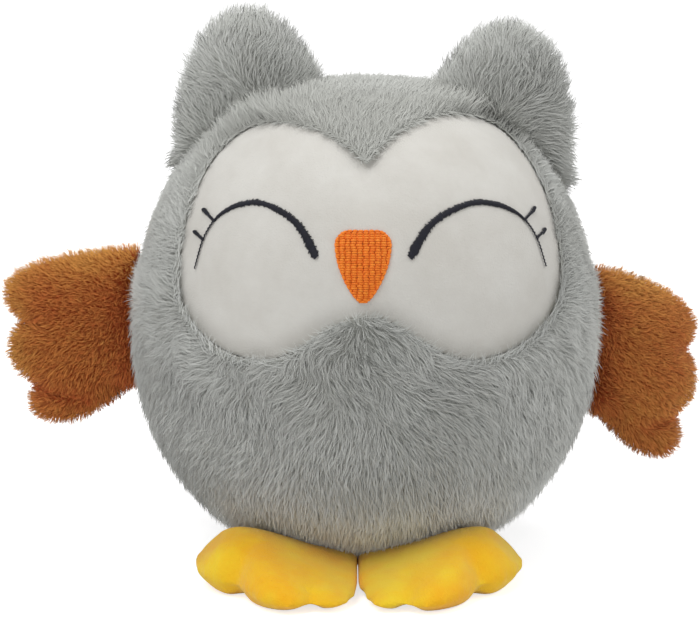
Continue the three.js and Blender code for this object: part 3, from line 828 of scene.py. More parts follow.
class PileGrower:
    """Grows strands on skins, each strand a thin closed cone, with one bend or none.

    A strand shades nearly as its skin does, which keeps a dense pile soft.
    """

    SIDES = 3
    ROUND = 0.4
    BEND = 0.55
    SUNK = 0.4

    def __init__(self, seed: int) -> None:
        """Starts the grower's own random numbers, with no strands yet."""
        self.rng = np.random.default_rng(seed)
        self.blocks: list[tuple[Array, Array, list[int], list[int], Array]] = []

    def roots(self, skin: Piece, density: float, keep: Field) -> tuple[Array, Array]:
        """Spreads roots evenly over the faces of a skin that are kept.

        Args:
            skin: The piece that they stand on.
            density: Roots to each square millimetre.
            keep: Tells from middles and normals which faces carry pile.

        Returns:
            The roots and their normals.
        """
        mesh = skin.data
        mesh.calc_loop_triangles()
        count = len(mesh.loop_triangles)
        corners = np.empty(count * 3, np.int32)
        mesh.loop_triangles.foreach_get("vertices", corners)
        flat = np.empty(len(mesh.vertices) * 3, np.float32)
        mesh.vertices.foreach_get("normal", flat)
        normals = flat.reshape(-1, 3).astype(float)
        corners = corners.reshape(-1, 3)
        triangles = points_of(skin)[corners]
        cross = np.cross(triangles[:, 1] - triangles[:, 0], triangles[:, 2] - triangles[:, 0])
        area = np.linalg.norm(cross, axis=1) / 2
        area = area * keep(triangles.mean(1), unit(cross))
        total = int(area.sum() * density)
        ladder = np.cumsum(area) / area.sum()
        places = (np.arange(total) + self.rng.random(total)) / total
        chosen = np.minimum(np.searchsorted(ladder, places), count - 1)
        first, second = np.sqrt(self.rng.random(total)), self.rng.random(total)
        weights = np.column_stack([1 - first, first * (1 - second), first * second])
        roots = np.einsum("nk,nkd->nd", weights, triangles[chosen])
        leaning = np.einsum("nk,nkd->nd", weights, normals[corners[chosen]])
        return roots, unit(leaning)

    def comb(
        self, roots: Array, normals: Array, pile: Pile, flow: Field,
        scale: Amount = 1.0, flatter: Amount = 0.0, bunch: Amount = 1.0,
    ) -> tuple[Array, Array]:
        """Combs strands along a flow and gathers them into tufts.

        Args:
            roots: Where they stand.
            normals: Which way is out.
            pile: Their size and habit.
            flow: Gives the direction that the pile is combed in.
            scale: Share of the pile's length that each strand has.
            flatter: How much further each strand leans, in radians.
            bunch: How much tighter each strand's tuft is.

        Returns:
            Root, bend and tip of each strand, and its tone from 0 to 1.
        """
        count = len(roots)
        combed = unit(flow(roots, normals))
        combed = unit(combed - normals * np.sum(combed * normals, axis=1, keepdims=True))
        turn = pile.swirl * (ripple(roots, 30, 21) + 0.5 * ripple(roots, 10, 22))
        turn = turn + self.rng.normal(0, pile.wild, count)
        across = np.cross(normals, combed)
        combed = combed * np.cos(turn)[:, None] + across * np.sin(turn)[:, None]
        length = pile.length * scale * np.clip(self.rng.normal(1, 0.13, count), 0.6, 1.35)
        lean = pile.lean + flatter + self.rng.normal(0, 0.12, count) + 0.08 * ripple(roots, 14, 23)
        lean = np.clip(lean, 0.15, 1.4)
        up, along = length * np.cos(lean), length * np.sin(lean)
        bends = roots + normals * (up * 0.68)[:, None] + combed * (along * 0.4)[:, None]
        tips = roots + normals * up[:, None] + combed * along[:, None]
        tone = 0.5 + 0.08 * self.rng.normal(size=count) + 0.08 * ripple(roots, 45, 24)
        if pile.gather > 0:
            tone = tone + self._gather(roots, bends, tips, pile, bunch)
        return np.stack([roots - normals * self.SUNK, bends, tips], axis=1), clip_tone(tone)

    def _gather(self, roots: Array, bends: Array, tips: Array, pile: Pile, bunch: Amount) -> Array:
        """Draws strands together into tufts, in place.

        Args:
            roots: Where the strands stand.
            bends: Their bends, which move a little.
            tips: Their tips, which move most.
            pile: How large the tufts are and how tight.
            bunch: How much tighter each strand's tuft is.

        Returns:
            What each strand's tuft adds to its tone.
        """
        count = len(roots)
        share = max(int(pile.density * pile.tuft**2), 2)
        centres = self.rng.choice(count, max(count // share, 1), replace=False)
        tree = kdtree.KDTree(len(centres))
        for place, index in enumerate(centres):
            tree.insert(roots[index], place)
        tree.balance()
        owner = np.array([tree.find(root)[1] for root in roots])
        pull = np.minimum(pile.gather * bunch * np.clip(self.rng.normal(1, 0.3, count), 0.2, 1.6), 0.8)
        lead = centres[owner]
        tips += (tips[lead] - tips) * pull[:, None]
        bends += (bends[lead] - bends) * (pull * 0.35)[:, None]
        return 0.06 * self.rng.normal(0, 1, len(centres))[owner]

    def add(self, lines: Array, tone: Array, normals: Array, pile: Pile) -> None:
        """Turns strands into cones and keeps them for the mesh.

        Args:
            lines: Root, bend and tip of each strand.
            tone: Each strand's place along U.
            normals: Outward direction at each root.
            pile: How thick they are, and whether they bend.
        """
        count, sides = len(lines), self.SIDES
        heights = [0.0] if pile.straight else [0.0, self.BEND]
        along = unit(lines[:, 2] - lines[:, 0])
        side = unit(np.cross(along, normals) + 1e-6)
        over = np.cross(along, side)
        thick = pile.width / 2 * np.clip(self.rng.normal(1, 0.2, count), 0.6, 1.5)
        facing = np.column_stack([normals[:, :2], np.maximum(normals[:, 2], 0)])
        rows, shading = [], []
        for level in range(len(heights)):
            for corner in range(sides):
                angle = 2 * math.pi * corner / sides
                offset = side * math.cos(angle) + over * math.sin(angle)
                rows.append(lines[:, level] + offset * thick[:, None])
                shading.append(unit(facing + self.ROUND * offset))
        rows.append(lines[:, 2])
        shading.append(unit(facing))
        last = len(heights) * sides
        faces = [[2, 1, 0]]
        for level in range(len(heights) - 1):
            low = level * sides
            turns = [(i, (i + 1) % sides) for i in range(sides)]
            faces += [[low + i, low + j, low + sides + j, low + sides + i] for i, j in turns]
        faces += [[last - sides + i, last - sides + (i + 1) % sides, last] for i in range(sides)]
        pattern = [corner for face in faces for corner in face]
        starts = np.cumsum([0] + [len(face) for face in faces[:-1]]).tolist()
        rise = np.append(np.repeat(heights, sides), 1.0)[pattern]
        shift = np.append(np.tile([-0.01, 0, 0.01], len(heights)), 0)[pattern]
        chart = np.stack([tone[:, None] + shift, np.tile(rise, (count, 1))], axis=2)
        self.blocks.append((np.stack(rows, axis=1), np.stack(shading, axis=1), pattern, starts, chart))

    def mesh(self, name: str) -> Piece:
        """Makes one mesh of every strand kept, with a map of tone and of root to tip.

        Args:
            name: The piece's name.

        Returns:
            The new piece.
        """
        points, shading, loops, starts, charts = [], [], [], [], []
        first_point = first_loop = 0
        for corners, outward, pattern, offsets, chart in self.blocks:
            count, each = corners.shape[:2]
            points.append(corners.reshape(-1, 3))
            shading.append(outward.reshape(-1, 3))
            loops.append((first_point + np.arange(count)[:, None] * each + pattern).ravel())
            starts.append((first_loop + np.arange(count)[:, None] * len(pattern) + offsets).ravel())
            charts.append(chart.reshape(-1, 2))
            first_point += count * each
            first_loop += count * len(pattern)
        mesh = bpy.data.meshes.new(name)
        mesh.vertices.add(first_point)
        mesh.vertices.foreach_set("co", (np.vstack(points) * MM).astype(np.float32).ravel())
        mesh.loops.add(first_loop)
        mesh.loops.foreach_set("vertex_index", np.concatenate(loops).astype(np.int32))
        mesh.polygons.add(sum(len(block) for block in starts))
        mesh.polygons.foreach_set("loop_start", np.concatenate(starts).astype(np.int32))
        mesh.update(calc_edges=True)
        chart = mesh.uv_layers.new(name=STRAND_MAP)
        chart.uv.foreach_set("vector", np.vstack(charts).astype(np.float32).ravel())
        mesh.normals_split_custom_set_from_vertices(np.vstack(shading))
        return place_object(name, mesh)


class Stitcher:
    """Lays stitches of thread, each a bowed closed tube."""

    RINGS = ((0.0, 0.45, -0.35), (0.14, 0.9, 0.35), (0.5, 1.0, 1.0), (0.86, 0.9, 0.35), (1.0, 0.45, -0.35))
    SIDES = 6

    def __init__(self, seed: int) -> None:
        """Starts the stitcher's own random numbers."""
        self.rng = np.random.default_rng(seed)

    def mesh(
        self, name: str, starts: Array, ends: Array, normals: Array, width: Amount, bow: float
    ) -> Piece:
        """Turns stitches into one mesh, with a map of tone and of length that puts painted shade at each
        stitch's ends.

        Args:
            name: The piece's name.
            starts: Where the needle comes up.
            ends: Where it goes down.
            normals: Outward directions.
            width: Thickness of the thread.
            bow: How far a stitch rises at its middle.

        Returns:
            The new piece.
        """
        count = len(starts)
        along = unit(ends - starts)
        side = unit(np.cross(along, normals))
        thick = width * np.clip(self.rng.normal(1, 0.06, count), 0.85, 1.15)
        rows = []
        for share, radius, rise in self.RINGS:
            line = starts + (ends - starts) * share + normals * (bow * rise)
            for step in range(self.SIDES):
                angle = 2 * math.pi * step / self.SIDES
                offset = side * math.cos(angle) + normals * (0.75 * math.sin(angle))
                rows.append(line + offset * (thick * radius / 2)[:, None])
        points = np.stack(rows, axis=1)
        sides, each = self.SIDES, len(self.RINGS) * self.SIDES
        pattern = [list(range(sides - 1, -1, -1)), list(range(each - sides, each))]
        for low in range(0, each - sides, sides):
            for step in range(sides):
                turn = (step + 1) % sides
                pattern.append([low + step, low + turn, low + sides + turn, low + sides + step])
        faces = [[corner + each * i for corner in face] for i in range(count) for face in pattern]
        piece = mesh_piece(name, points.reshape(-1, 3), faces)
        tone = np.clip(self.rng.normal(0.5, 0.2, count), 0.03, 0.97)
        chart = piece.data.uv_layers.new(name=STRAND_MAP)
        shares = np.array([ring[0] for ring in self.RINGS])
        index = np.empty(len(piece.data.loops), np.int32)
        piece.data.loops.foreach_get("vertex_index", index)
        # Painted shade: each stitch darkens towards its ends, where the thread goes into the cloth.
        height = 1 - np.abs(2 * shares[index % each // sides] - 1) ** 4 * 0.9
        across = tone[index // each] + 0.004 * (index % sides)
        chart.uv.foreach_set("vector", np.column_stack([across, height]).astype(np.float32).ravel())
        return piece


# Sub-assemblies


@dataclass
class Face:
    """The heart-shaped velour face with its stitched beak and closed eyes."""

    ball: Ball
    cheeks: tuple[float, float] = (69.8, 66.3)
    tops: tuple[float, float] = (79.5, 77.5)
    notch: float = 66.2
    lobe_x: float = 28.0
    side_z: float = 23.0
    chin_x: float = 38.0
    chin_z: float = -1.0
    peak_rise: float = 17.5
    peak_round: float = 14.0
    handle: float = 0.58
    inset: float = 4.2
    thickness: float = 2.0
    tuck: float = 1.024
    margin: float = 3.0
    fullness: float = 1.4
    rim: float = 0.7
    drop: float = 1.7
    dimple: float = 1.6
    sag: float = 1.8
    beak_shift: float = -1.0
    beak_half_width: float = 9.8
    beak_height: float = 24.8
    beak_lift: float = 4.5
    row_pitch: float = 0.8
    needle_pitch: float = 2.05
    edge_pitch: float = 1.9
    underlay_pitch: float = 0.45
    eye_z: float = 28.0
    eye_rise: float = 25.0
    eye_gaps: tuple[float, float] = (6.4, 6.1)
    satin_pitch: float = 0.4
    lash_pitch: float = 0.36
    tail_pitch: float = 1.3
    eye_arc: tuple = (
        (0, 0.345), (0.12, 0.7), (0.25, 0.885), (0.45, 1), (0.62, 0.95),
        (0.75, 0.83), (0.84, 0.68), (0.93, 0.41), (1, 0),
    )
    lashes: tuple = ((6, 5.2, 35.0), (7, 4.2, 29.0))

    def __post_init__(self) -> None:
        """Draws the outline once."""
        self.outline = self._heart()

    def _heart(self) -> Outline:
        """Outline of the face, seen from the front, with true heights."""
        notch, chin, peak = self.notch, self.chin_z, self.chin_z + self.peak_rise

        def blend(start: float, end: float) -> float:
            """Where a handle stands between two ends."""
            return start + (end - start) * self.handle

        rows = []
        for side, half, top in zip(Side, self.cheeks, self.tops):
            widths = (self.lobe_x, half, self.chin_x, self.peak_round)
            lobe, cheek, jowl, mound = (side.value * width for width in widths)
            dip, widest = (lobe * (1 - self.handle) / 2, blend(notch, top)), (cheek, self.side_z)
            arcs = [
                [(0, notch), dip, (lobe * self.handle, top), (lobe, top)],
                [(lobe, top), (blend(lobe, cheek), top), (cheek, blend(self.side_z, top)), widest],
                [widest, (cheek, blend(self.side_z, chin)), (blend(jowl, cheek), chin), (jowl, chin)],
                [(jowl, chin), (blend(jowl, mound), chin), (mound, peak), (0, peak)],
            ]
            if side is Side.RIGHT:
                arcs = [arc[::-1] for arc in arcs[::-1]]
            rows.extend(bezier(arc, 14) for arc in arcs)
        return Outline(np.vstack(rows) + [0, self.ball.middle])

    def depth(self, x: Array, z: Array) -> Array:
        """Depth of the face's surface under the pile's tips: full in the middle, sunk at its seam."""
        gap = self.outline.signed_distance(np.column_stack([x, z]))
        rim = self.rim * (1 - smooth_step(-gap, 0, 8)) + self.drop * smooth_step(gap, 0.3, 1.6)
        height = z - self.ball.middle
        dent = self.dimple * np.exp(-((x / 7) ** 2)) * smooth_step(height, self.notch - 22, self.notch)
        sag = self.sag * (1 - smooth_step(height, self.chin_z, self.chin_z + 34))
        return self.inset - self.fullness * smooth_step(-gap, 2, 26) + rim + dent + sag

    def surface(self, x: Array, z: Array) -> Array:
        """Points of the face's surface, seen at a place from the front."""
        return np.column_stack([x, self.ball.front(x, z, self.depth(x, z)), z])

    def panel(self) -> Piece:
        """Makes the stuffed panel."""
        low, high = self.outline.points.min(0) - self.margin, self.outline.points.max(0) + self.margin
        add = bpy.ops.mesh.primitive_grid_add
        piece = primitive("face_velour_panel", add, x_subdivisions=110, y_subdivisions=66, size=2)
        share = points_of(piece)[:, :2] * MM / 2 + 0.5
        flat = low + share * (high - low)
        move_points(piece, self.surface(flat[:, 0], flat[:, 1]))
        if np.mean([polygon.normal.y for polygon in piece.data.polygons]) > 0:
            piece.data.flip_normals()
        apply_modifier(piece, "SOLIDIFY", thickness=self.thickness * MM, offset=-1)
        middle = self.outline.middle
        tucked = Outline(middle + (self.outline.points - middle) * self.tuck)
        cut(piece, tucked.prism(120), "INTERSECT")
        return piece

    def beak_outline(self) -> Outline:
        """Shield outline of the beak, with true heights."""
        half, tip = self.beak_half_width, self.chin_z + self.peak_rise + self.beak_lift
        top = tip + self.beak_height
        shoulder, toe = (half, top - 3.8), (2.2, tip + 1.0)
        right = np.vstack([
            bezier([(half - 3.9, top), (half - 2.6, top - 0.4), (half - 0.6, top - 1.9), shoulder], 8),
            bezier([shoulder, (half, tip + 13), (5.8, tip + 5.2), toe], 16),
            bezier([toe, (1.5, tip + 0.3), (0.8, tip), (0, tip)], 4),
        ])
        left = (right * [-1, 1])[::-1]
        return Outline(np.vstack([right, [[0, tip]], left]) + [self.beak_shift, self.ball.middle])

    def beak(self, stitcher: Stitcher) -> tuple[Piece, Piece]:
        """Fills the beak with rows of stitches inside a stitched edge, over an underlay.

        Args:
            stitcher: What lays the stitches.

        Returns:
            The stitches that show, and the underlay.
        """
        outline = self.beak_outline()
        low, high = outline.points.min(0), outline.points.max(0)
        starts, ends = [], []
        for z in np.arange(low[1] + 0.5, high[1] - 0.6, self.row_pitch):
            left, right = outline.span(1, z)
            needles = self.beak_shift + np.arange(-6, 7) * self.needle_pitch
            needles = needles + stitcher.rng.normal(0, 0.16, len(needles))
            within = needles[(needles > left + 0.5) & (needles < right - 0.5)]
            stops = np.concatenate([[left], within, [right]])
            starts.extend([x, z] for x in stops[:-1])
            ends.extend([x, z] for x in stops[1:])
        pulled = outline.middle + (outline.even(self.edge_pitch) - outline.middle) * 0.97
        width = np.append(np.full(len(starts), 0.76), np.full(len(pulled), 0.84))
        first, second = np.vstack([starts, pulled]), np.vstack([ends, np.roll(pulled, -1, axis=0)])

        def crown(places: Array) -> Array:
            """How far stitches stand off the velour, which is most in the middle."""
            return 0.45 + 0.9 * smooth_step(-outline.signed_distance(places), 0, 6)

        top = self._sew("beak_stitches", first, second, stitcher, width, 0.3, crown)
        columns = np.arange(low[0] + 0.7, high[0] - 0.6, self.underlay_pitch)
        spans = np.array([outline.span(0, x) for x in columns])
        foot = np.column_stack([columns, spans[:, 0] + 0.5])
        head = np.column_stack([columns, spans[:, 1] - 0.5])
        rows = [foot + (head - foot) * step for step in np.linspace(0, 1, 7)]
        first, second = np.vstack(rows[:-1]), np.vstack(rows[1:])
        under = self._sew(
            "beak_underlay", first, second, stitcher, 0.62, 0.1, lambda places: crown(places) - 0.35
        )
        return top, under

    def _sew(
        self, name: str, starts: Array, ends: Array, stitcher: Stitcher, width: Amount, bow: float,
        lift: Callable[[Array], Amount],
    ) -> Piece:
        """Lays stitches on the face's surface.

        Args:
            name: The piece's name.
            starts: Front places where stitches start.
            ends: Front places where they end.
            stitcher: What lays them.
            width: Thickness of the thread.
            bow: How far a stitch rises.
            lift: Tells how far a stitch's end stands off the velour.

        Returns:
            The stitched piece.
        """
        first, second = self.surface(*starts.T), self.surface(*ends.T)
        normals = self.ball.normals((first + second) / 2)
        first = first + normals * np.reshape(lift(starts), (-1, 1))
        second = second + normals * np.reshape(lift(ends), (-1, 1))
        return stitcher.mesh(name, first, second, normals, width, bow)

    def knots(self, side: Side) -> Array:
        """Places that the centre line of a closed eye passes, from its inner end to its tail."""
        half = self.cheeks[0] if side is Side.LEFT else self.cheeks[1]
        inner = self.beak_shift + side.value * (self.beak_half_width + self.eye_gaps[0])
        tail = side.value * (half - self.eye_gaps[1])
        share, rise = np.array(self.eye_arc).T
        height = self.eye_z + self.eye_rise * rise + self.ball.middle
        return np.column_stack([inner + (tail - inner) * share, height])

    def eye(self, side: Side, stitcher: Stitcher) -> Piece:
        """Sews a closed eye: a tapered satin arc, a fine running tail and two lashes.

        Args:
            side: Which eye.
            stitcher: What lays the stitches.

        Returns:
            The stitched piece.
        """
        steps, knots = 24, self.knots(side)
        line = spline(knots, steps)
        run = run_of(line)
        turn = run[self.lashes[0][0] * steps]
        starts, ends = [], []

        def satin(middle: Array, way: Array, half: Array, slant: float) -> None:
            """Lays stitches across a line, each at its own half width."""
            rough = half * np.clip(stitcher.rng.normal(1, 0.13, len(half)), 0.75, 1.3)
            across = (np.column_stack([-way[:, 1], way[:, 0]]) + way * slant) * rough[:, None]
            starts.append(middle - across)
            ends.append(middle + across)

        marks = np.arange(0, turn, self.satin_pitch)
        arc = along_line(line, marks)
        half = np.interp(
            marks / turn,
            [0, 0.03, 0.08, 0.3, 0.55, 0.8, 0.93, 1],
            [1.15, 1.55, 1.65, 1.25, 0.95, 0.75, 0.4, 0.25],
        )
        satin(arc, unit(np.gradient(arc, axis=0)), half, 0.22 * side.value)
        for knot, length, degrees in self.lashes:
            angle = math.radians(degrees)
            way = np.array([[side.value * math.cos(angle), math.sin(angle)]])
            along = np.arange(0, length, self.lash_pitch)
            half = np.interp(along / length, [0, 0.5, 0.7, 0.88, 1], [0.55, 0.55, 0.85, 1.0, 0.65])
            satin(knots[knot] + along[:, None] * way, np.repeat(way, len(along), axis=0), half, 0.3)
        tail = np.arange(turn, run[-1], self.tail_pitch)
        starts.append(along_line(line, tail))
        ends.append(along_line(line, np.minimum(tail + 1.5, run[-1])))
        first, second = np.vstack(starts), np.vstack(ends)
        width = np.full(len(first), 0.56)
        width[-len(tail):] = np.linspace(0.85, 0.6, len(tail))
        name = f"{side.word}_eye_stitches"
        return self._sew(name, first, second, stitcher, width, 0.42, lambda _: 0.35)


@dataclass
class Coat:
    """The grey skins of the body and the long pile that stands on them."""

    ball: Ball
    face: Face
    inset: float = 4.2
    thickness: float = 2.0
    long: Pile = Pile(7.8, 0.26, 1.0, 1.06, gather=0.15, swirl=0.26, wild=0.34)
    under: Pile = Pile(6.0, 0.28, 2.7, 1.0, gather=0, swirl=0.26, wild=0.42, straight=True)
    spring: tuple[float, float, float] = (-4.5, -75.0, 102.0)
    cowlick: tuple[float, float, float] = (24.0, 70.0, 15.0)
    flap: tuple[float, float, float] = (46.0, 36.135, 100.135)
    back_share: float = 0.65
    clearance: float = 0.4
    slice_half: float = 84.0

    def skin(self, name: str, node: Piece) -> Piece:
        """Makes the smooth skin of one sewn panel, cut where the panel's seams are.

        Args:
            name: The piece's name.
            node: The solid of the panel.

        Returns:
            The skin.
        """
        piece = self.ball.skin(name, self.inset, self.thickness)
        cutter = place_object("cutter", node.data.copy())
        close_mesh(cutter)
        cut(piece, cutter, "INTERSECT")
        return piece

    def outer(self, middles: Array, normals: Array) -> Array:
        """Tells which faces are on the outside of a skin and not on its base."""
        wall = self.ball.level(middles, self.inset) > 0.992
        return wall & (np.sum(normals * self.ball.normals(middles), axis=1) > 0.6)

    def flow(self, roots: Array, _: Array) -> Array:
        """Combs the pile away from the peak under the beak, and down over the belly and the back."""
        x, none = roots[:, 0], np.zeros(len(roots))
        away = unit(roots - np.array(self.spring))
        down = np.column_stack([0.3 * np.tanh(x / 30), none, none - 1])
        fall = self.fall(roots)[:, None]
        lick_x, lick_z, size = self.cowlick
        licked = np.exp(-(((x - lick_x) ** 2 + (roots[:, 2] - lick_z) ** 2) / size**2))
        aside = np.column_stack([licked * smooth_step(-roots[:, 1], 15, 45), none, none])
        way = away * (1 - fall) + down * fall + 1.6 * aside
        sway = 0.8 * self.ruffle(roots) * ripple(roots, 21, 13)
        return way + np.column_stack([-way[:, 2], none, way[:, 0]]) * sway[:, None]

    def fall(self, roots: Array) -> Array:
        """Tells where the pile falls, 1, and where it spreads from the peak, 0."""
        level = roots[:, 2] + 8 * ripple(roots, 55, 9)
        return np.maximum(smooth_step(roots[:, 1], -15, 40), 1 - smooth_step(level, 64, 106))

    def ruffle(self, roots: Array) -> Array:
        """Tells where the pile is ruffled, just under the face."""
        return band(roots[:, 2], 56, 74, 100, 114) * smooth_step(-roots[:, 1], 15, 45)

    def flanks(self, roots: Array) -> Array:
        """Tells where the head is narrower than the ball, above the wings."""
        return band(roots[:, 2], 100, 114, 134, 152) * smooth_step(np.abs(roots[:, 0]), 52, 76)

    def parting(self, roots: Array) -> Array:
        """Tells how near places are to the flap's edge at the back, where the pile parts."""
        half, low, high = self.flap
        upright = np.maximum(low - roots[:, 2], roots[:, 2] - high)
        gap = np.maximum(np.abs(roots[:, 0]) - half, upright)
        return np.exp(-((gap / 2.4) ** 2)) * smooth_step(roots[:, 1], 10, 30)

    def stance(self, roots: Array) -> Array:
        """How much flatter the pile lies: upright at the peak, on the belly and at the ears' feet."""
        peak = np.exp(-((np.linalg.norm(roots - np.array(self.spring), axis=1) / 11) ** 2))
        belly = (1 - smooth_step(roots[:, 2], 50, 80)) * smooth_step(-roots[:, 1], 0, 30)
        flat = 0.12 * smooth_step(roots[:, 2], 120, 150) + 0.22 * self.flanks(roots)
        return flat - 0.5 * self.corners(roots) - 0.7 * peak - 0.2 * belly

    def lengths(self, roots: Array) -> Array:
        """Shortens the pile towards the base, over the belly, on the head's flanks and over the crown."""
        front = smooth_step(-roots[:, 1], -10, 20)
        base = 0.55 + 0.3 * front + (0.45 - 0.3 * front) * smooth_step(roots[:, 2], 6, 80)
        crown = (1 - 0.3 * smooth_step(roots[:, 2], 128, 160)) * (1 - 0.22 * self.flanks(roots))
        return base * crown * (1 + 0.8 * self.corners(roots)) * (1 - 0.5 * self.parting(roots))

    def corners(self, roots: Array) -> Array:
        """Tells how near places are to the ears' feet, where the pile stands up and is long."""
        across = np.exp(-(((np.abs(roots[:, 0]) - 40) / 17) ** 2))
        return across * smooth_step(roots[:, 2], 136, 160) * (1 - smooth_step(roots[:, 1], 5, 25))

    def glow(self, roots: Array) -> Array:
        """Painted light and shade that a place adds to the tone: shade at the brow and the flap's edge,
        light on the crown and low on the belly.
        """
        # Painted light low on the belly, lifting the shade above the feet.
        low = (1 - smooth_step(roots[:, 2], 12, 46)) * smooth_step(-roots[:, 1], 0, 40)
        # Painted shade on the brow.
        brow = band(roots[:, 2], 140, 162, 168, 177)
        # Painted highlight on the crown, lit from above.
        crown = smooth_step(roots[:, 2], 171, 178)
        # Painted shade along the flap's edge, where the pile parts.
        return 0.8 * low - 0.42 * brow + 0.14 * crown - 0.4 * self.parting(roots)

    def trim(self, lines: Array, grower: PileGrower) -> Array:
        """Cuts strands short where they would hang far over the face.

        Args:
            lines: Root, bend and tip of each strand.
            grower: Gives the random spread of the edge.

        Returns:
            The strands, trimmed.
        """
        near = np.flatnonzero((lines[:, 0, 1] < 0) & (lines[:, 0, 2] > self.ball.middle - 20))
        lower = lines[near, 0, 2] < self.ball.middle + 25
        loose, neat = (grower.rng.gamma(2.0, size, len(near)) for size in (1.5, 1.0))
        spill = np.where(lower, loose, neat)
        outline = self.face.outline
        outside, gap = (outline.signed_distance(lines[near, end][:, [0, 2]]) for end in (0, 2))
        depth = np.maximum(-gap, 0)
        kept = spill * (1 - np.exp(-depth / np.maximum(spill, 0.05)))
        outside = np.maximum(outside, 0.1)
        share = np.where(depth > 0, (kept + outside) / (depth + outside), 1.0)
        trimmed = lines.copy()
        root = lines[near, :1]
        trimmed[near] = root + (lines[near] - root) * np.clip(share, 0.25, 1)[:, None, None]
        return trimmed

    def grow(
        self, name: str, skin: Piece, seed: int, share: float, keep: Callable[[Array], Array]
    ) -> Piece:
        """Grows the pile of part of a skin.

        Args:
            name: The piece's name.
            skin: What it stands on.
            seed: Picks its random numbers.
            share: Share of the full density, as the back may be thinner.
            keep: Tells from the faces' middles which part carries this piece.

        Returns:
            The pile.
        """
        grower = PileGrower(seed)

        def carries(middles: Array, normals: Array) -> Array:
            """Tells which faces carry this piece."""
            return self.outer(middles, normals) & keep(middles)

        for pile in (self.long, self.under):
            roots, _ = grower.roots(skin, pile.density * share, carries)
            normals = self.ball.normals(roots)
            habit = (self.lengths(roots), self.stance(roots), 1 + 1.6 * self.ruffle(roots))
            lines, tone = grower.comb(roots, normals, pile, self.flow, *habit)
            lines = self.trim(lines, grower)
            lines[:, :, 2] = np.maximum(lines[:, :, 2], self.clearance)
            thick = replace(pile, width=pile.width / math.sqrt(share))
            # The tone gets the painted light and shade of glow.
            grower.add(lines, clip_tone(tone + self.glow(roots)), normals, thick)
        return grower.mesh(name)

    def fringe(self, name: str, seed: int) -> Piece:
        """Grows the pile that leans over the face's seam: a neat edge above and loose tufts below.

        Args:
            name: The piece's name.
            seed: Picks its random numbers.

        Returns:
            The fringe.
        """
        grower = PileGrower(seed)
        seam = self.face.outline.even(0.16)
        away = unit(np.gradient(seam, axis=0))[:, ::-1] * [1, -1]
        away *= np.sign(self.face.outline.signed_distance(seam + away))[:, None]
        count = len(seam)
        low = 1 - smooth_step(seam[:, 1], self.ball.middle + 12, self.ball.middle + 34)
        base = seam + away * grower.rng.uniform(0.1, 2.6 + 2.4 * low, count)[:, None]
        roots = np.column_stack([base[:, 0], self.ball.front(*base.T, self.inset), base[:, 1]])
        normals = self.ball.normals(roots)
        inwards = -np.column_stack([away[:, 0], np.zeros(count), away[:, 1]])
        lean_in = (2.3 - 0.5 * low) * np.clip(1 + 0.5 * ripple(roots, 7, seed), 0, 2.2)
        directions = unit(self.flow(roots, normals)) + inwards * lean_in[:, None]
        pile = replace(self.long, wild=0.5)
        habit = (0.68 + 0.32 * low, 0.7 - 0.4 * low)
        lines, tone = grower.comb(roots, normals, pile, lambda *_: directions, *habit)
        # The tone gets the painted light and shade of glow, and the loose tufts low on the seam get painted
        # light over the shade at the face's lower edge.
        tone = clip_tone(tone + self.glow(roots) + 0.35 * low)
        grower.add(self.trim(lines, grower), tone, normals, pile)
        return grower.mesh(name)


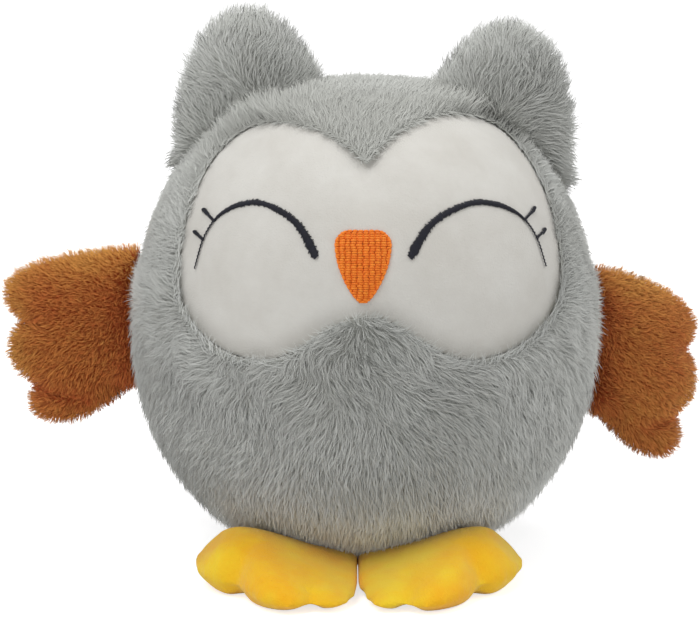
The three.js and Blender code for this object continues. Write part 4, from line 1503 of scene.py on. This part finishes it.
@dataclass
class Ear:
    """A flat stuffed ear that stands on the head's side."""

    side: Side
    ball: Ball
    inner_x: float = 14.0
    outer_x: float = 75.5
    tip_x: float = 49.0
    rise: float = 21.5
    shoulder: float = 21.5
    inner_drop: float = 29.5
    root_z: float = 44.0
    tip_round: float = 16.0
    half_thickness: float = 13.0
    y: float = 3.0
    roll: float = 2.8
    inset: float = 3.6
    seat: float = 3.6
    spring: tuple[float, float, float] = (46.0, -12.0, 64.0)
    piles: tuple[Pile, ...] = (
        Pile(7.4, 0.27, 1.0, 0.85, 5.0, 0.2, 0.5, 0.3),
        Pile(5.6, 0.29, 2.7, 0.8, gather=0, swirl=0.5, wild=0.34, straight=True),
    )

    def outline(self) -> Outline:
        """Outline of the skin, seen from the front, with heights from the body's middle."""
        tip, inner, tip_x = self.ball.half_height + self.rise, self.inner_x, self.tip_x
        low, slope = tip - self.inner_drop, (inner + self.tip_round, tip - self.shoulder / 2)
        arcs = (
            ((self.outer_x, tip - self.shoulder), (tip_x + self.tip_round, tip), (tip_x, tip)),
            ((tip_x - self.tip_round, tip), slope, (inner, low)),
        )
        side = np.column_stack([np.full(6, inner), np.linspace(low, self.root_z, 6)])
        foot = np.column_stack([np.linspace(inner, self.outer_x, 14), np.full(14, self.root_z)])[1:-1]
        points = np.vstack([chain((self.outer_x, self.root_z), arcs, 26), side, foot])
        middle = (points.min(0) + points.max(0)) / 2
        radius = np.linalg.norm(points - middle, axis=1).mean()
        return Outline((middle + (points - middle) * (1 - self.inset / radius)) * [self.side.value, 1])

    def build(self) -> Piece:
        """Makes the skin, set down on the head."""
        placement = (
            Matrix.Translation((0, self.y, self.ball.middle))

            @ Matrix.Rotation(math.radians(self.roll), 4, "Y")
            @ Matrix.Rotation(math.pi / 2, 4, "X")
        )
        half = self.half_thickness - self.inset
        name = f"{self.side.word}_ear_skin"
        piece = StuffedPad(name, self.outline(), half, half, 0.7, placement, voxel=3.0).make()
        move_points(piece, self.ball.push_out(points_of(piece), self.seat))
        return piece

    def grow(self, skin: Piece, seed: int) -> Piece:
        """Grows the ear's pile, combed up and outwards from its foot, with painted shade at its foot and
        painted light towards its rim.
        """
        grower = PileGrower(seed)
        foot = np.array(self.spring) * [self.side.value, 1, 1] + [0, self.y, self.ball.middle]
        for pile in self.piles:
            roots, normals = grower.roots(skin, pile.density, self.ball.beyond(self.seat, 1.012))
            lines, tone = grower.comb(roots, normals, pile, lambda places, _: places - foot)
            # Painted shade and light: the tone is lowered all over and rises again towards the rim.
            rim = 0.3 * smooth_step(np.linalg.norm(roots - foot, axis=1), 8, 44)
            grower.add(lines, clip_tone(tone - 0.2 + rim), normals, pile)
        return grower.mesh(f"{self.side.word}_ear_pile")


@dataclass
class Wing:
    """A three-lobed wing sewn into the body's side seam."""

    side: Side
    ball: Ball
    z: float
    droop: float
    sweep: float
    stretch: float
    reach: float
    crest: tuple
    half_root: float = 25.0
    half_thickness: float = 8.5
    cover: float = 2.6
    y: float = 8.0
    inset: float = 0.6
    sink: float = 5.0
    seat: float = 1.2
    piles: tuple[Pile, ...] = (
        Pile(4.1, 0.3, 1.3, 0.48, 2.4, 0.4, 0.5, 0.8),
        Pile(3.5, 0.3, 3.6, 0.45, gather=0, swirl=0.5, wild=0.8, straight=True),
    )
    root: tuple[float, float] = (-1.0, 1.0)
    notches: tuple = ((0.87, -0.05), (0.79, -0.98))
    lobes: tuple = (((1.07, -0.24), (1.05, -0.76)), ((0.97, -1.68), (0.46, -1.84)))
    fold_ends: tuple = ((0.6, 0.05), (0.36, -1.12))
    fold_depths: tuple[float, float] = (1.8, 4.2)
    fold_width: float = 2.0

    @property
    def pivot(self) -> Array:
        """Middle of the seam."""
        girth = self.ball.half_width * math.sqrt(1 - (self.y / self.ball.half_depth) ** 2)
        across = self.side.value * girth * math.cos(math.pi / 32)
        return np.array([across, self.y, self.ball.middle + self.z])

    def _place(self, shares: Array) -> Array:
        """Turns shares of the reach and half root into places on the wing's own plane."""
        out = shares[:, 0] * self.reach
        rise = shares[:, 1] * self.half_root * np.where(shares[:, 1] < 0, self.stretch, 1)
        return np.column_stack([self.side.value * out, rise - out * self.droop])

    def outline(self) -> Outline:
        """Outline of the skin on the wing's own plane, with its root sunk into the body's pile."""
        ends = (*self.notches, (0.0, self.root[0]))
        arcs = [(*handles, end) for handles, end in zip((self.crest, *self.lobes), ends)]
        seam = np.column_stack([np.full(13, -self.sink / self.reach), np.linspace(*self.root, 13)])
        points = self._place(np.vstack([chain((0.0, self.root[1]), arcs, 22), seam]))
        shrink = np.array([1 - self.inset / self.reach, 1 - self.inset / (1.4 * self.half_root)])
        middle = np.array([0, points[:, 1].min() + points[:, 1].max()]) / 2
        return Outline(middle + (points - middle) * shrink)

    def folds(self) -> list[Crease]:
        """The fold that runs in from each notch between the lobes."""
        return [
            Crease(*self._place(np.array([notch, end])), depth, self.fold_width)
            for notch, end, depth in zip(self.notches, self.fold_ends, self.fold_depths)
        ]

    def placement(self) -> Matrix:
        """Puts the wing's own plane in its place."""
        swept = Matrix.Rotation(math.radians(self.sweep) * self.side.value, 4, "Z")
        return Matrix.Translation(self.pivot) @ swept @ Matrix.Rotation(math.pi / 2, 4, "X")

    def build(self) -> Piece:
        """Makes the skin, with its folds."""
        half = self.half_thickness - self.cover
        pad = StuffedPad(
            f"{self.side.word}_wing_skin", self.outline(), half, half, 0.6, self.placement(),
            voxel=1.8, swell=1.2, creases=self.folds(),
        )
        piece = pad.make()
        move_points(piece, self.ball.push_out(points_of(piece), self.seat))
        return piece

    def grow(self, skin: Piece, seed: int) -> Piece:
        """Grows the wing's pile: painted highlight along its upper edge and its tips, painted shade by its
        seam and in its folds.
        """
        grower = PileGrower(seed)
        turn = np.array(self.placement().to_3x3())
        away = np.array([self.side.value, 0.25, -0.25 - self.droop])

        def flow(places: Array, _: Array) -> Array:
            """Combs the pile away from the seam."""
            return away + 0.35 * unit(places - self.pivot)

        for pile in self.piles:
            roots, normals = grower.roots(skin, pile.density, self.ball.beyond(self.seat, 1.004))
            lines, tone = grower.comb(roots, normals, pile, flow)
            out = np.abs(roots[:, 0] - self.pivot[0])
            high = (roots[:, 2] - self.pivot[2] + out * self.droop) / self.half_root
            # Painted highlight along the upper edge and at the tips.
            rim = 0.5 * smooth_step(high, 0.35, 1.0) + 0.42 * smooth_step(out / self.reach, 0.66, 0.98)
            # Painted shade by the seam, and along each fold.
            painted_shade = 0.24 * (1 - smooth_step(out / self.reach, 0.0, 0.3))
            for fold in self.folds():
                gap, share = fold.reach(((roots - self.pivot) @ turn)[:, :2])
                painted_shade = painted_shade + 0.12 * fold.depth * np.exp(-((gap / 2.6) ** 2)) * (1 - 0.6 * share)
            grower.add(lines, clip_tone(tone + rim - painted_shade - 0.02), normals, pile)
        return grower.mesh(f"{self.side.word}_wing_pile")


@dataclass
class Foot:
    """A domed velour foot with three toes."""

    side: Side
    ball: Ball
    gap: float = 0.6
    shift: float = -2.8
    width: float = 60.0
    length: float = 56.0
    heel_z: float = 3.0
    height: float = 10.2
    sole: float = 3.4
    outer_rise: float = 0.75
    seat: float = 3.2
    clearance: float = 0.15
    crease_depth: float = 1.6
    crease_width: float = 3.0
    creases: tuple = (((0.275, 0.9), (0.3, 0.6)), ((0.76, 0.64), (0.6, 0.44)))
    toes: tuple = (
        ((0.0, 0.25), (0.0, 0.35), (0.0, 0.48)),
        ((0.0, 0.88), (0.13, 1.04), (0.275, 0.9)),
        ((0.36, 1.09), (0.62, 1.03), (0.74, 0.63)),
        ((0.9, 0.68), (1.12, 0.27), (0.93, 0.04)),
    )

    def _place(self, shares: Array) -> Array:
        """Turns shares of the width and length into places on the floor."""
        heel = self.ball.front(np.zeros(1), np.array([self.heel_z]), 0.0)[0]
        across = self.shift + self.side.value * (self.gap / 2 + shares[:, 0] * self.width)
        return np.column_stack([across, heel - shares[:, 1] * self.length])

    def outline(self) -> Outline:
        """Outline of the foot, seen from above."""
        heel = np.column_stack([np.linspace(share, 0, 14) for share in self.toes[-1][-1]])[:-1]
        return Outline(self._place(np.vstack([chain((0, 0), self.toes, 18), heel])))

    def build(self) -> Piece:
        """Makes the foot, with a crease from each notch between its toes."""
        press = (self.crease_depth, self.crease_width)
        creases = [Crease(*self._place(np.array(ends)), *press) for ends in self.creases]
        pad = StuffedPad(
            f"{self.side.word}_foot_velour", self.outline(), self.height - self.sole, self.sole, 0.42,
            Matrix.Translation((0, 0, self.sole + 0.3)), voxel=2.2, swell=1.0, creases=creases,
        )
        piece = pad.make()
        move_points(piece, self._settle(points_of(piece)))
        apply_modifier(piece, "SMOOTH", factor=0.5, iterations=8)
        points = points_of(piece)
        points[:, 2] = np.maximum(points[:, 2] - points[:, 2].min(), self.clearance)
        move_points(piece, points)
        return piece

    def _settle(self, points: Array) -> Array:
        """Raises the outer side and presses the foot to the other one, the body and the floor."""
        settled = points.copy()
        heel = self._place(np.zeros((1, 2)))[0, 1]
        out = self.side.value * (settled[:, 0] - self.shift)
        back = np.clip((settled[:, 1] - heel + self.length / 2) / self.length * 2, -1, 1)
        settled[:, 2] *= (1 + self.outer_rise * smooth_step(out, 6, 46)) * (1 + 0.3 * back)
        settled = self.ball.push_out(settled, self.seat)
        roof = np.maximum(1.3 * self.height * (1 + self.outer_rise) - 1.1 * np.maximum(out - 45, 0), 9)
        settled[:, 2] = np.where(settled[:, 2] > roof, roof + 0.3 * (settled[:, 2] - roof), settled[:, 2])
        touching = 1 - smooth_step(heel - settled[:, 1], 24, 38)
        squeeze = 1 - touching * 0.9 * (1 - smooth_step(out, 0, 10))
        out = np.maximum(0.1 + (out - out.min()) * squeeze, 0.1)
        settled[:, 0] = self.shift + self.side.value * out
        settled[:, 2] = np.maximum(settled[:, 2], self.clearance)
        return settled


@dataclass
class BackPocket:
    """The pocket in the back: its lining, the lip round its mouth and the touch fastener."""

    BACK = (20.0, 120.0)

    ball: Ball
    flap: tuple[float, float, float]
    half_width: float = 42.5
    rise: float = 20.0
    pouch_z: float = 72.635
    front_y: float = -21.0
    back_y: float = 74.0
    lip_inset: float = 9.8
    lip_edge: float = 3.0
    lining: float = 1.2
    slack: float = 0.4
    strip_half_width: float = 37.5
    strip_height: float = 10.5
    strip_lift: float = 2.6
    strip_thickness: float = 0.8
    hook_inset: float = 6.9
    loop_inset: float = 8.6
    hooks: Pile = Pile(0.55, 0.2, 2.2, 0.25, 1.0, 0.0)
    loops: Pile = Pile(0.9, 0.16, 5.0, 0.95, 1.4, 0.3, 1.6, 0.9)

    def lining_bag(self) -> Piece:
        """Sews the bag, with soft corners and slack walls, open at the mouth."""
        bag = primitive("pocket_lining_bag", bpy.ops.mesh.primitive_cube_add, size=2)
        bpy.ops.object.mode_set(mode="EDIT")
        bpy.ops.mesh.select_all(action="SELECT")
        bpy.ops.mesh.subdivide(number_cuts=23)
        bpy.ops.object.mode_set(mode="OBJECT")
        share = points_of(bag) * MM
        shape = np.sign(share) * (1 - (1 - np.abs(share)) ** 1.25)
        points = np.column_stack([
            shape[:, 0] * self.half_width,
            self.front_y + (share[:, 1] + 1) / 2 * (self.back_y - self.front_y),
            self.pouch_z + shape[:, 2] * self.rise,
        ])
        points += 0.35 * np.column_stack([ripple(points, 17, seed) for seed in (3, 4, 5)])
        move_points(bag, points)
        self._open(bag)
        apply_modifier(bag, "SOLIDIFY", thickness=self.lining * 0.7 * MM, offset=1)
        cut(bag, self.ball.skin("cutter", self.lip_inset, 0), "INTERSECT")
        return bag

    @staticmethod
    def _open(bag: Piece) -> None:
        """Deletes the faces at the bag's back, which is its mouth."""
        activate(bag)
        bpy.ops.object.mode_set(mode="EDIT")
        bpy.ops.mesh.select_mode(type="FACE")
        bpy.ops.mesh.select_all(action="DESELECT")
        bpy.ops.object.mode_set(mode="OBJECT")
        limit = max(vertex.co.y for vertex in bag.data.vertices) - 1.5 * MM
        for polygon in bag.data.polygons:
            polygon.select = all(bag.data.vertices[corner].co.y > limit for corner in polygon.vertices)
        bpy.ops.object.mode_set(mode="EDIT")
        bpy.ops.mesh.delete(type="FACE")
        bpy.ops.object.mode_set(mode="OBJECT")

    def _window(self, half: float, low: float, high: float) -> Piece:
        """Makes a cutter through the back, between two heights."""
        box = primitive("cutter", bpy.ops.mesh.primitive_cube_add, size=1)
        first, last = np.array([-half, self.BACK[0], low]), np.array([half, self.BACK[1], high])
        move_points(box, (first + last) / 2 + points_of(box) * MM * (last - first))
        return box

    def lip(self) -> Piece:
        """Makes the lining's flat lip round the mouth, under the back's edge."""
        piece = self.ball.skin("pocket_lining_lip", self.lip_inset, self.lining * 0.8)
        half, low, high = self.flap
        edge, rise = self.lip_edge, self.rise - self.slack
        cut(piece, self._window(half + edge, low - edge, high + edge), "INTERSECT")
        mouth = self._window(self.half_width - self.slack, self.pouch_z - rise, self.pouch_z + rise)
        cut(piece, mouth, "DIFFERENCE")
        return piece

    def tape(self, name: str, inset: float) -> Piece:
        """Makes the woven tape of one half of the fastener."""
        piece = self.ball.skin(name, inset, self.strip_thickness)
        low = self.flap[1] + self.strip_lift
        cut(piece, self._window(self.strip_half_width, low, low + self.strip_height), "INTERSECT")
        return piece

    def nap(self, name: str, tape: Piece, way: int, seed: int, pile: Pile) -> Piece:
        """Covers one face of a tape with hooks or loops.

        Args:
            name: The piece's name.
            tape: What they stand on.
            way: 1 for the outer face, -1 for the inner one.
            seed: Picks the random numbers.
            pile: Their size and habit.

        Returns:
            The hooks or loops.
        """
        grower = PileGrower(seed)

        def keep(middles: Array, normals: Array) -> Array:
            """Tells which faces look the right way."""
            return np.sum(normals * self.ball.normals(middles), axis=1) * way > 0.7

        def flow(roots: Array, _: Array) -> Array:
            """Lays the hooks or loops along the tape."""
            return np.tile([1.0, 0.0, -0.4], (len(roots), 1))

        roots, _ = grower.roots(tape, pile.density, keep)
        normals = self.ball.normals(roots) * way
        lines, tone = grower.comb(roots, normals, pile, flow)
        grower.add(lines, tone, normals, pile)
        return grower.mesh(name)


@dataclass
class HeatPouch:
    """The cotton pouch of grain that slides out of the pocket."""

    z: float
    half_width: float = 41.2
    back_y: float = 60.8
    depth: float = 80.6
    half_thickness: float = 17.6
    squareness: float = 3.5

    def outline(self) -> Outline:
        """Soft-cornered rectangle, seen from above."""
        angle = np.linspace(0, 2 * math.pi, 96, endpoint=False)
        wave = np.column_stack([np.cos(angle), np.sin(angle)])
        shape = np.sign(wave) * np.abs(wave) ** (2 / self.squareness)
        return Outline(shape * [self.half_width, self.depth / 2] + [0, self.back_y - self.depth / 2])

    def build(self) -> Piece:
        """Makes the pouch, puckered at its seam and lumpy with grain."""
        pad = StuffedPad(
            "heat_pouch_cotton", self.outline(), self.half_thickness, self.half_thickness, 0.62,
            Matrix.Translation((0, 0, self.z)), voxel=3.2, swell=1.4,
        )
        piece = pad.make()
        points = points_of(piece)
        outward = unit(points - [0, self.back_y - self.depth / 2, self.z])
        points += outward * (0.35 * ripple(points, 7, 11) + 0.3 * ripple(points, 22, 12))[:, None]
        points[:, 1] = np.minimum(points[:, 1], self.back_y + 0.4)
        move_points(piece, points)
        return piece


@dataclass
class Studio:
    """Floor, soft light and a camera at the photograph's angle."""

    LAMPS = (
        ("key", (-0.6, -0.6, 1.45), 0.9, 9.0),
        ("fill", (1.2, -0.1, 0.9), 0.9, 3.4),
        ("low", (-0.3, -1.3, 0.06), 0.9, 2.0),
        ("top", (0.1, 0.2, 1.4), 0.8, 4.5),
    )

    middle: float
    elevation: float = 12.0
    distance: float = 1.2
    scale: float = 0.37
    aim_x: float = -5.55
    aim_up: float = 3.15
    ambient: float = 0.46
    floor_grey: float = 0.82
    floor_glow: float = 0.7

    def build(self) -> None:
        """Adds everything that isn't part of the owl."""
        self._floor()
        self._world()
        for lamp in self.LAMPS:
            self._lamp(*lamp)
        self._camera()

    def _floor(self) -> None:
        """Adds a pale floor that keeps the owl's shadow."""
        floor = primitive("floor", bpy.ops.mesh.primitive_plane_add, size=12)
        grey, white = (*[self.floor_grey] * 3, 1), (1, 1, 1, 1)
        plain = {"Base Color": grey, "Roughness": 0.9, "Specular IOR Level": 0.1, "Emission Color": white}
        shader = Shader("pale_floor", plain)
        seen = {0: self._clear_rays(shader.tree), 1: self.floor_glow}
        glow = wire(shader.tree, "ShaderNodeMath", seen, operation="MULTIPLY")
        shader.feed(glow.outputs["Value"], "Emission Strength")
        floor.data.materials.append(shader.material)

    def _world(self) -> None:
        """Lights the scene evenly and shows white behind it."""
        world = bpy.data.worlds.new("studio")
        bpy.context.scene.world = world
        world.use_nodes = True
        tree = world.node_tree
        shares = {"Factor": self._clear_rays(tree), "A": self.ambient, "B": 1.0}
        mix = wire(tree, "ShaderNodeMix", shares)
        background = tree.nodes["Background"].inputs
        background["Color"].default_value = (1, 1, 1, 1)
        tree.links.new(mix.outputs["Result"], background["Strength"])

    @staticmethod
    def _clear_rays(tree: Tree) -> Socket:
        """Adds a mask of the rays that see white: camera, glossy and transmission ones."""
        path = wire(tree, "ShaderNodeLightPath").outputs
        mask = path["Is Camera Ray"]
        for kind in ("Is Glossy Ray", "Is Transmission Ray"):
            either = wire(tree, "ShaderNodeMath", {0: mask, 1: path[kind]}, operation="MAXIMUM")
            mask = either.outputs["Value"]
        return mask

    def _lamp(self, name: str, place: tuple[float, float, float], size: float, power: float) -> None:
        """Adds a large soft lamp that looks at the owl's middle."""
        data = bpy.data.lights.new(name, "AREA")
        data.shape, data.size, data.energy = "DISK", size, power
        lamp = place_object(name, data)
        lamp.location = place
        away = Vector(place) - Vector((0, 0, self.middle * MM))
        lamp.rotation_euler = away.to_track_quat("Z", "Y").to_euler()

    def _camera(self) -> None:
        """Adds the camera: the owl's middle falls where the photograph has it."""
        data = bpy.data.cameras.new("camera")
        data.sensor_width = SENSOR_WIDTH
        data.lens = data.sensor_width * self.distance / (self.scale * MM * IMAGE_WIDTH)
        camera = place_object("camera", data)
        angle = math.radians(self.elevation)
        rise, slope = math.cos(angle), math.sin(angle)
        aim = np.array([self.aim_x, self.aim_up * slope, self.middle + self.aim_up * rise]) * MM
        camera.location = aim + self.distance * np.array([0, -rise, slope])
        camera.rotation_euler = (math.pi / 2 - angle, 0, 0)
        bpy.context.scene.camera = camera
        bpy.context.scene.view_settings.view_transform = "Standard"


class PlushOwl:
    """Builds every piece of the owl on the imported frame."""

    def __init__(self, frame: dict) -> None:
        """Keeps the frame's nodes and makes the shared finishes."""
        self.nodes = frame["nodes"]
        groups = GroupMaker()
        finishes = (
            GREY_PILE, BROWN_PILE, GREY_SKIN, BROWN_SKIN, FACE_VELOUR, FOOT_VELOUR, BASE_NAP, EYE_THREAD,
            BEAK_THREAD, LINING_CLOTH, POUCH_COTTON, FASTENER_TAPE, FASTENER_PILE,
        )
        self.materials = {finish.name: finish.material(groups) for finish in finishes}
        self.ball = Ball()
        self.face = Face(self.ball)
        self.coat = Coat(self.ball, self.face)

    def dress(self, piece: Piece, body: str, slot: str, finish: Finish, *nodes: str) -> Piece:
        """Smooths and dresses a piece and gives it to its body.

        Args:
            piece: The finished mesh.
            body: The body that it rides on.
            slot: The record's material slot; not used.
            finish: What it is dressed in.
            *nodes: The solids that it stands for.

        Returns:
            The same piece.
        """
        piece.data.materials.clear()
        piece.data.materials.append(self.materials[finish.name])
        if not piece.data.has_custom_normals:
            activate(piece)
            bpy.ops.object.shade_smooth_by_angle(angle=math.radians(SMOOTH_ANGLE))
        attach(piece, body)
        if nodes:
            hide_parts(*nodes)
        LOG.info("%s: %d faces on %s", piece.name, len(piece.data.polygons), body)
        return piece

    def body(self) -> None:
        """Builds the grey panels, their pile and the base."""
        thin, half = self.coat.back_share, self.coat.slice_half
        panels = {
            "brow": (1.0, 1, 10),
            "belly": (1.0, 4, 20),
            "back_upper": (thin, 2, 30),
            "back_lower": (thin, 2, 40),
        }
        for panel, (share, slices, seed) in panels.items():
            extra = ("body_stuffing",) if panel == "belly" else ()
            skin = self.coat.skin(f"{panel}_skin", self.nodes[f"{panel}_panel"])
            edges = [-math.inf, *np.linspace(-half, half, slices + 1)[1:-1], math.inf]
            for step, (low, high) in enumerate(zip(edges, edges[1:])):
                pile = self.coat.grow(
                    f"{panel}_pile_{step + 1}", skin, seed + step, share,
                    lambda middles: (middles[:, 0] > low) & (middles[:, 0] <= high),
                )
                self.dress(pile, "body", "grey_plush", GREY_PILE)
            self.dress(skin, "body", "grey_plush", GREY_SKIN, f"{panel}_panel", *extra)
        self.dress(self.coat.fringe("face_fringe", 50), "body", "grey_plush", GREY_PILE)
        base = self.coat.skin("base_skin", self.nodes["base_panel"])
        points = points_of(base)
        drop = self.coat.inset - self.coat.clearance
        points[:, 2] -= np.where(points[:, 2] < self.coat.inset + 0.5, drop, 0)
        move_points(base, points)
        self.dress(base, "body", "base_plush", BASE_NAP, "base_panel")

    def features(self) -> None:
        """Builds the face, the beak and the eyes."""
        panel = self.dress(self.face.panel(), "body", "face_plush", FACE_VELOUR, "face_panel")
        stitches, underlay = self.face.beak(Stitcher(51))
        self.dress(stitches, "body", "beak_thread", BEAK_THREAD, "beak")
        self.dress(underlay, "body", "beak_thread", BEAK_THREAD)
        for side in Side:
            eye = self.face.eye(side, Stitcher(52 + side.value))
            self.dress(eye, "body", "eye_thread", EYE_THREAD, f"{side.word}_eye")

    def limbs(self) -> None:
        """Builds the ears, wings and feet."""
        wings = {
            Side.LEFT: Wing(
                Side.LEFT, self.ball, z=-7.5, droop=0.2, sweep=30.0, stretch=1.17, reach=45.4,
                crest=((0.45, 1.04), (1.28, 0.68)),
            ),
            Side.RIGHT: Wing(
                Side.RIGHT, self.ball, z=-1.5, droop=0.02, sweep=8.0, stretch=1.05, reach=47.8,
                crest=((0.4, 1.04), (1.4, 0.86)), root=(-0.93, 1.08),
            ),
        }
        for side in Side:
            word, sewn = side.word, ("front", "back", "stuffing")
            ear, wing = Ear(side, self.ball), wings[side]
            skin = ear.build()
            self.dress(ear.grow(skin, 60 + side.value), "body", "grey_plush", GREY_PILE)
            nodes = [f"{word}_ear_{piece}" for piece in sewn]
            self.dress(skin, "body", "grey_plush", GREY_SKIN, *nodes)
            skin = wing.build()
            self.dress(wing.grow(skin, 70 + side.value), f"{word}_wing", "wing_plush", BROWN_PILE)
            nodes = [f"{word}_wing_{piece}" for piece in sewn]
            self.dress(skin, f"{word}_wing", "wing_plush", BROWN_SKIN, *nodes)
            foot = Foot(side, self.ball).build()
            nodes = [f"{word}_foot_{piece}" for piece in ("upper", "sole", "stuffing")]
            self.dress(foot, f"{word}_foot", "foot_plush", FOOT_VELOUR, *nodes)

    def pocket(self) -> None:
        """Builds the flap, the pocket behind it and the pouch."""
        back = BackPocket(self.ball, self.coat.flap)
        flap = self.coat.skin("flap_skin", self.nodes["pocket_flap"])
        thin = self.coat.back_share
        pile = self.coat.grow("flap_pile", flap, 80, thin, lambda middles: middles[:, 1] > 0)
        self.dress(pile, "pocket_flap", "grey_plush", GREY_PILE)
        self.dress(flap, "pocket_flap", "grey_plush", GREY_SKIN, "pocket_flap")
        self.dress(back.lining_bag(), "body", "lining", LINING_CLOTH, "pocket_lining")
        self.dress(back.lip(), "body", "lining", LINING_CLOTH)
        hooks = back.tape("hook_tape", back.hook_inset)
        nap = back.nap("hook_tape_hooks", hooks, -1, 81, back.hooks)
        self.dress(nap, "pocket_flap", "fastener", FASTENER_PILE)
        self.dress(hooks, "pocket_flap", "fastener", FASTENER_TAPE, "hook_strip")
        loops = back.tape("loop_tape", back.loop_inset)
        nap = back.nap("loop_tape_loops", loops, 1, 82, back.loops)
        self.dress(nap, "body", "fastener", FASTENER_PILE)
        self.dress(loops, "body", "fastener", FASTENER_TAPE, "loop_strip")
        nodes = ("pouch_upper_panel", "pouch_lower_panel", "pouch_grain")
        pouch = HeatPouch(back.pouch_z).build()
        self.dress(pouch, "heat_pouch", "pouch_cotton", POUCH_COTTON, *nodes)


def main() -> None:
    """Builds the owl and its studio."""
    logging.basicConfig(level=logging.INFO, format="%(message)s")
    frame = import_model()
    Studio(Ball().middle).build()
    owl = PlushOwl(frame)
    owl.features()
    owl.body()
    owl.limbs()
    owl.pocket()


if __name__ == "__main__":
    main()
